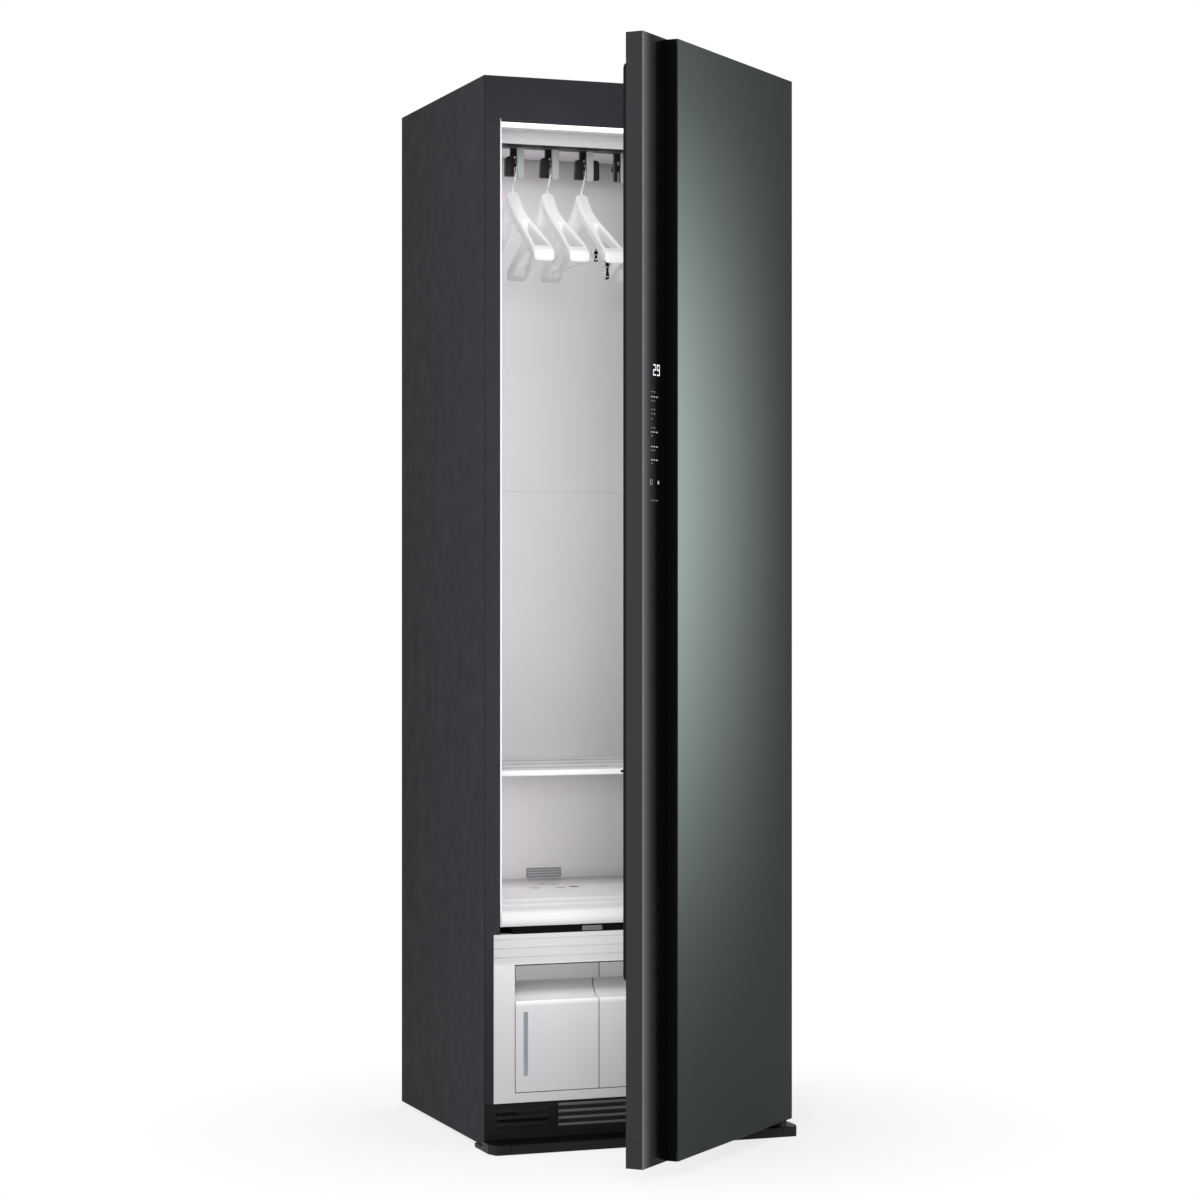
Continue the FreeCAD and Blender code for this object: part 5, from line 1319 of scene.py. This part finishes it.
class CABINET_OT_door(bpy.types.Operator):
    """Frame, end caps, tray, glass, inner lining and seal"""
    bl_idname = "cabinet.door"
    bl_label = "Door"

    def execute(self, context):
        settings = context.scene.door
        dress("door_paint", 0.7 * MM, "door_frame", "door_cap_top", "door_cap_bottom")
        dress("tray_black", 0.4 * MM, "door_panel_tray")
        self.glass(settings)
        self.lining()
        self.seal()
        return {"FINISHED"}

    def glass(self, settings):
        """The coloured sheet and, behind its polished edge, a slim dark carrier line."""
        low, high = span("door_glass", True)
        shell = Shell()
        shell.block(low, high, 1.2 * MM, settings.edge, 1)
        piece = make_piece("green_glass", shell, "door", ("door_green", "glass_edge"),
                           ["door_glass"], door=True)
        mesh = piece.data
        normals = np.empty(len(mesh.polygons) * 3)
        mesh.polygons.foreach_get("normal", normals)
        facing = normals.reshape(-1, 3) @ swing_direction((0, -1, 0))
        mesh.polygons.foreach_set("material_index", (facing < 0.9).astype(int))

    def lining(self):
        """The inner sheet: a raised pan with rounded corners that steps up along smooth edges."""
        low, high = span("door_liner", True)
        plate_back = -8 * MM
        shell = Shell()
        shell.block((low[0], plate_back - 3 * MM, low[2]), (high[0], plate_back, high[2]), 3 * MM,
                    0.6 * MM, 1)
        pan_low = np.array([low[0] + 47 * MM, 0, low[2] + 327 * MM])
        pan_high = np.array([high[0] - 47 * MM, 0, high[2] - 57 * MM])
        steps = [(0.0, plate_back + 0.02 * MM), (-1 * MM, plate_back + 0.6 * MM),
                 (-3 * MM, plate_back + 3 * MM), (-6 * MM, plate_back + 5.4 * MM),
                 (-9 * MM, plate_back + 6 * MM)]
        pan = surround(pan_low, pan_high, 26 * MM, steps, 10)
        shell.sheet(pan, False, True)
        shell.cap(pan.shape[1])
        for row in range(5):
            z = 0.55 + row * 0.27
            shell.block((pan_low[0] + 30 * MM, plate_back + 5 * MM, z),
                        (pan_high[0] - 30 * MM, -0.8 * MM, z + 6 * MM), 2.5 * MM, 1 * MM, 0)
        make_piece("door_inner_pan", shell, "door", ["door_lining"], ["door_liner"],
                   door=True)

    def seal(self):
        """A hollow-looking lip seal: base, two grooves and a rounded bulb, carried round the door."""
        low, high = span("door_gasket", True)
        wide = 10 * MM
        back, front = -8 * MM, -0.9 * MM
        section = [(0, back), (0, back + 1.2 * MM), (-0.8 * MM, back + 1.9 * MM),
                   (-0.8 * MM, back + 2.5 * MM), (0, back + 3.2 * MM), (0, front - 1.6 * MM),
                   (-0.6 * MM, front - 0.5 * MM), (-2 * MM, front), (-8 * MM, front),
                   (-9.4 * MM, front - 0.5 * MM), (-wide, front - 1.6 * MM), (-wide, back + 3.2 * MM),
                   (-wide + 0.8 * MM, back + 2.5 * MM), (-wide + 0.8 * MM, back + 1.9 * MM),
                   (-wide, back + 1.2 * MM), (-wide, back)]
        shell = Shell()
        shell.sheet(surround(low, high, 12 * MM, section, 6), True, True)
        make_piece("lip_seal", shell, "door", ["rubber"], ["door_gasket"], door=True)


def swing_direction(direction):
    """A direction of the shut door as it points with the door at rest."""
    return swing(PIVOT + np.asarray(direction, float)) - PIVOT


# Height, number of dashes and brightness of each row of marks on the display.
MARKS = ((1.3495, 2, 0), (1.3409, 3, 1), (1.3340, 2, 0), (1.3192, 2, 0), (1.3118, 2, 0), (1.3030, 1, 0),
         (1.2880, 2, 0), (1.2807, 3, 1), (1.2738, 1, 0), (1.2559, 3, 1), (1.2497, 2, 0), (1.2332, 3, 1),
         (1.2274, 1, 0), (1.1641, 3, 0))

# The bars of each figure, lettered a to g as usual from the top clockwise, with g in the middle.
SEGMENTS = ("abcdef", "bc", "abged", "abgcd", "fgbc", "afgcd", "afgedc", "abc", "abcdefg", "abcdfg")


class CABINET_OT_display(bpy.types.Operator):
    """Gloss strip, its board, and the lit number and marks"""
    bl_idname = "cabinet.display"
    bl_label = "Display"

    def execute(self, context):
        settings = context.scene.door
        dress("circuit_board", 0.2 * MM, "display_board")
        low, high = span("display_strip", True)
        shell = Shell()
        shell.block(low, high, 0.3 * MM, 0.8 * MM, 1)
        make_piece("control_strip", shell, "door", ["gloss_strip"],
                   ["display_strip"], door=True)
        self.number(settings.digits, low[1])
        self.marks(low[1])
        return {"FINISHED"}

    def bar(self, shell, face, x0, x1, z0, z1, number=0):
        shell.block((x0, face - 0.12 * MM, z0), (x1, face + 0.3 * MM, z1), 0.5 * MM, 0.1 * MM, 1, 3,
                    finish=number)

    def number(self, value, face):
        """Two figures of seven bars each."""
        shell = Shell()
        tall, wide, stroke = 19 * MM, 10.5 * MM, 1.9 * MM
        bottom = 1.3785
        for place, left in ((value // 10, -0.2560), (value % 10, -0.2415)):
            right, middle, top = left + wide, bottom + tall / 2, bottom + tall
            bars = {
                "a": (left, right, top - stroke, top),
                "g": (left, right, bottom + (tall - stroke) / 2, bottom + (tall + stroke) / 2),
                "d": (left, right, bottom, bottom + stroke),
                "f": (left, left + stroke, middle, top),
                "b": (right - stroke, right, middle, top),
                "e": (left, left + stroke, bottom, middle),
                "c": (right - stroke, right, bottom, middle),
            }
            for key in SEGMENTS[place]:
                self.bar(shell, face, *bars[key])
        make_piece("display_number", shell, "door", ["display_white"], door=True)

    def marks(self, face):
        """Short plain dashes in rows, and a ring and a small square below them."""
        shell = Shell()
        for z, count, bright in MARKS:
            for column in range(count):
                x0 = -0.2645 + column * 10 * MM
                self.bar(shell, face, x0, x0 + 6 * MM, z, z + 1.9 * MM, bright)
        x, z, radius = -0.2640, 1.1960, 3.8 * MM
        section = [(0, face - 0.12 * MM), (0.9 * MM, face - 0.12 * MM), (0.9 * MM, face + 0.2 * MM),
                   (0, face + 0.2 * MM)]
        shell.sheet(surround((x - radius, 0, z - radius), (x + radius, 0, z + radius), radius, section, 6),
                    True, True, 1)
        self.bar(shell, face, -0.2385, -0.2335, z - 3 * MM, z + 3 * MM, 1)
        make_piece("display_marks", shell, "door", ("display_dim", "display_soft"),
                   door=True)


# ---- stage ----

def seen_directly(tree):
    """1 where the camera, gloss or glass looks at a surface, and 0 for the light that it gives."""
    rays = add_node(tree, "ShaderNodeLightPath").outputs
    through = add_node(tree, "ShaderNodeMath", {0: rays["Is Glossy Ray"], 1: rays["Is Transmission Ray"]},
                       operation="MAXIMUM").outputs[0]
    return add_node(tree, "ShaderNodeMath", {0: rays["Is Camera Ray"], 1: through},
                    operation="MAXIMUM").outputs[0]


def area_light(name, place, target, wide, tall, power):
    """A soft rectangular light that faces a point."""
    data = bpy.data.lights.new(name, "AREA")
    data.shape = "RECTANGLE"
    data.size = wide
    data.size_y = tall
    data.energy = power
    lamp = place_object(name, data)
    lamp.location = place
    lamp.rotation_euler = (Vector(target) - Vector(place)).to_track_quat("-Z", "Y").to_euler()
    lamp.visible_camera = False


class CABINET_OT_stage(bpy.types.Operator):
    """Pale floor, even background, soft lights and the camera"""
    bl_idname = "cabinet.stage"
    bl_label = "Stage"

    def execute(self, context):
        settings = context.scene.stage
        self.floor()
        self.world(settings)
        for name, place, target, wide, tall, power in (
                ("key", (-1.6, -4.6, 3.4), (0, 0, 1.0), 2.6, 2.6, settings.key),
                ("side", (-4.2, 0.6, 1.8), (0, 0.2, 1.0), 2.4, 2.4, settings.side),
                ("fill", (3.6, -2.4, 1.6), (0, 0, 1.0), 2.2, 2.2, settings.fill),
                ("chamber", (-0.13, -0.16, 1.10), (-0.05, 1.0, 1.10), 0.34, 1.6, settings.inner),
                ("ceiling", (-0.04, 0.32, 1.83), (-0.04, 0.33, 0.0), 0.40, 0.2, settings.inner * 0.2),
                ("shelf", (-0.04, 0.26, 0.655), (-0.04, 0.27, 0.0), 0.40, 0.3, settings.inner * 0.24)):
            area_light(name + "_light", place, target, wide, tall, power)
        self.camera(settings)
        context.scene.view_settings.view_transform = "Standard"
        return {"FINISHED"}

    def floor(self):
        """A flat disc: rings of growing radius, shaded where the cabinet stands and white further out."""
        radius = np.array([0.02, 0.3, 0.6, 0.9, 1.3, 2.0, 3.0, 5.0, 9.0, 16.0])
        angle = np.linspace(0, 2 * math.pi, 64, endpoint=False)
        x = radius[:, None] * np.cos(angle)
        y = radius[:, None] * np.sin(angle) + 0.2
        rings = np.stack([x, y, np.full_like(x, -0.2 * MM)], -1)
        shell = Shell()
        shell.sheet(rings, round_v=True)
        mesh = bpy.data.meshes.new("floor")
        middle = list(range(len(angle)))[::-1]
        mesh.from_pydata(np.vstack(shell.points).tolist(), [], shell.faces + [middle])
        made = Surface("floor_white", (0.97, 0.97, 0.97), 0.95)
        made.mottle(3.0, 0.01)
        place = made.add("ShaderNodeVectorMath", {0: made.coordinates, 1: (0, -0.2, 0)}, operation="ADD")
        far = made.add("ShaderNodeVectorMath", {0: place.outputs[0]}, operation="LENGTH").outputs["Value"]
        fade = made.ranged(far, 0.72, 1.0, 0.40, 0.9)
        white = made.add("ShaderNodeEmission", {"Color": (1, 1, 1, 1), "Strength": 1.0}).outputs[0]
        mixed = made.add("ShaderNodeMixShader", {0: made.math("MULTIPLY", fade, seen_directly(made.tree)),
                                                 1: made.shader.outputs[0], 2: white})
        made.tree.links.new(mixed.outputs[0], made.tree.nodes["Material Output"].inputs["Surface"])
        mesh.materials.append(made.material)
        floor = place_object("floor", mesh)

    def world(self, settings):
        """Soft grey light on the object, and plain white where the camera, gloss or glass looks past it."""
        world = bpy.data.worlds.new("studio")
        bpy.context.scene.world = world
        world.use_nodes = True
        tree = world.node_tree
        tree.nodes.clear()
        soft, plain = (add_node(tree, "ShaderNodeBackground",
                                {"Color": (1, 1, 1, 1), "Strength": strength}).outputs[0]
                       for strength in (settings.sky, 1.0))
        mixed = add_node(tree, "ShaderNodeMixShader", {0: seen_directly(tree), 1: soft, 2: plain})
        add_node(tree, "ShaderNodeOutputWorld", {"Surface": mixed.outputs[0]})

    def camera(self, settings):
        """Eye level with the middle of the cabinet, from its left, with upright lines kept upright."""
        data = bpy.data.cameras.new("camera")
        data.sensor_width = 36.0
        data.lens = settings.lens
        data.shift_x = -0.02874
        data.shift_y = -0.00248
        data.clip_end = 100.0
        camera = place_object("camera", data)
        camera.location = (-1.98575, -5.32643, 1.00046)
        camera.rotation_euler = (math.pi / 2, 0, math.radians(-20.38))
        bpy.context.scene.camera = camera


OPERATORS = (CABINET_OT_casing, CABINET_OT_chamber, CABINET_OT_rail, CABINET_OT_hangers,
             CABINET_OT_lower_front, CABINET_OT_machine, CABINET_OT_door, CABINET_OT_display,
             CABINET_OT_stage)


class CABINET_PT_panel(bpy.types.Panel):
    """Buttons and settings of the cabinet"""
    bl_idname = "CABINET_PT_panel"
    bl_label = "Clothes care cabinet"
    bl_space_type = "VIEW_3D"
    bl_region_type = "UI"
    bl_category = "Cabinet"

    def draw(self, context):
        for name, group in SETTINGS:
            column = self.layout.box().column()
            for key in group.__annotations__:
                column.prop(getattr(context.scene, name), key)
        for operator in OPERATORS:
            self.layout.operator(operator.bl_idname)


def register():
    for name, group in SETTINGS:
        bpy.utils.register_class(group)
        setattr(bpy.types.Scene, name, PointerProperty(type=group))
    for item in OPERATORS + (CABINET_PT_panel,):
        bpy.utils.register_class(item)


def unregister():
    for item in reversed(OPERATORS + (CABINET_PT_panel,)):
        bpy.utils.unregister_class(item)
    for name, group in reversed(SETTINGS):
        delattr(bpy.types.Scene, name)
        bpy.utils.unregister_class(group)


def main():
    """Builds everything in order."""
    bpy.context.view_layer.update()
    register()
    for operator in OPERATORS:
        group, name = operator.bl_idname.split(".")
        getattr(getattr(bpy.ops, group), name)()
    bpy.context.view_layer.update()


if __name__ == "__main__":
    main()
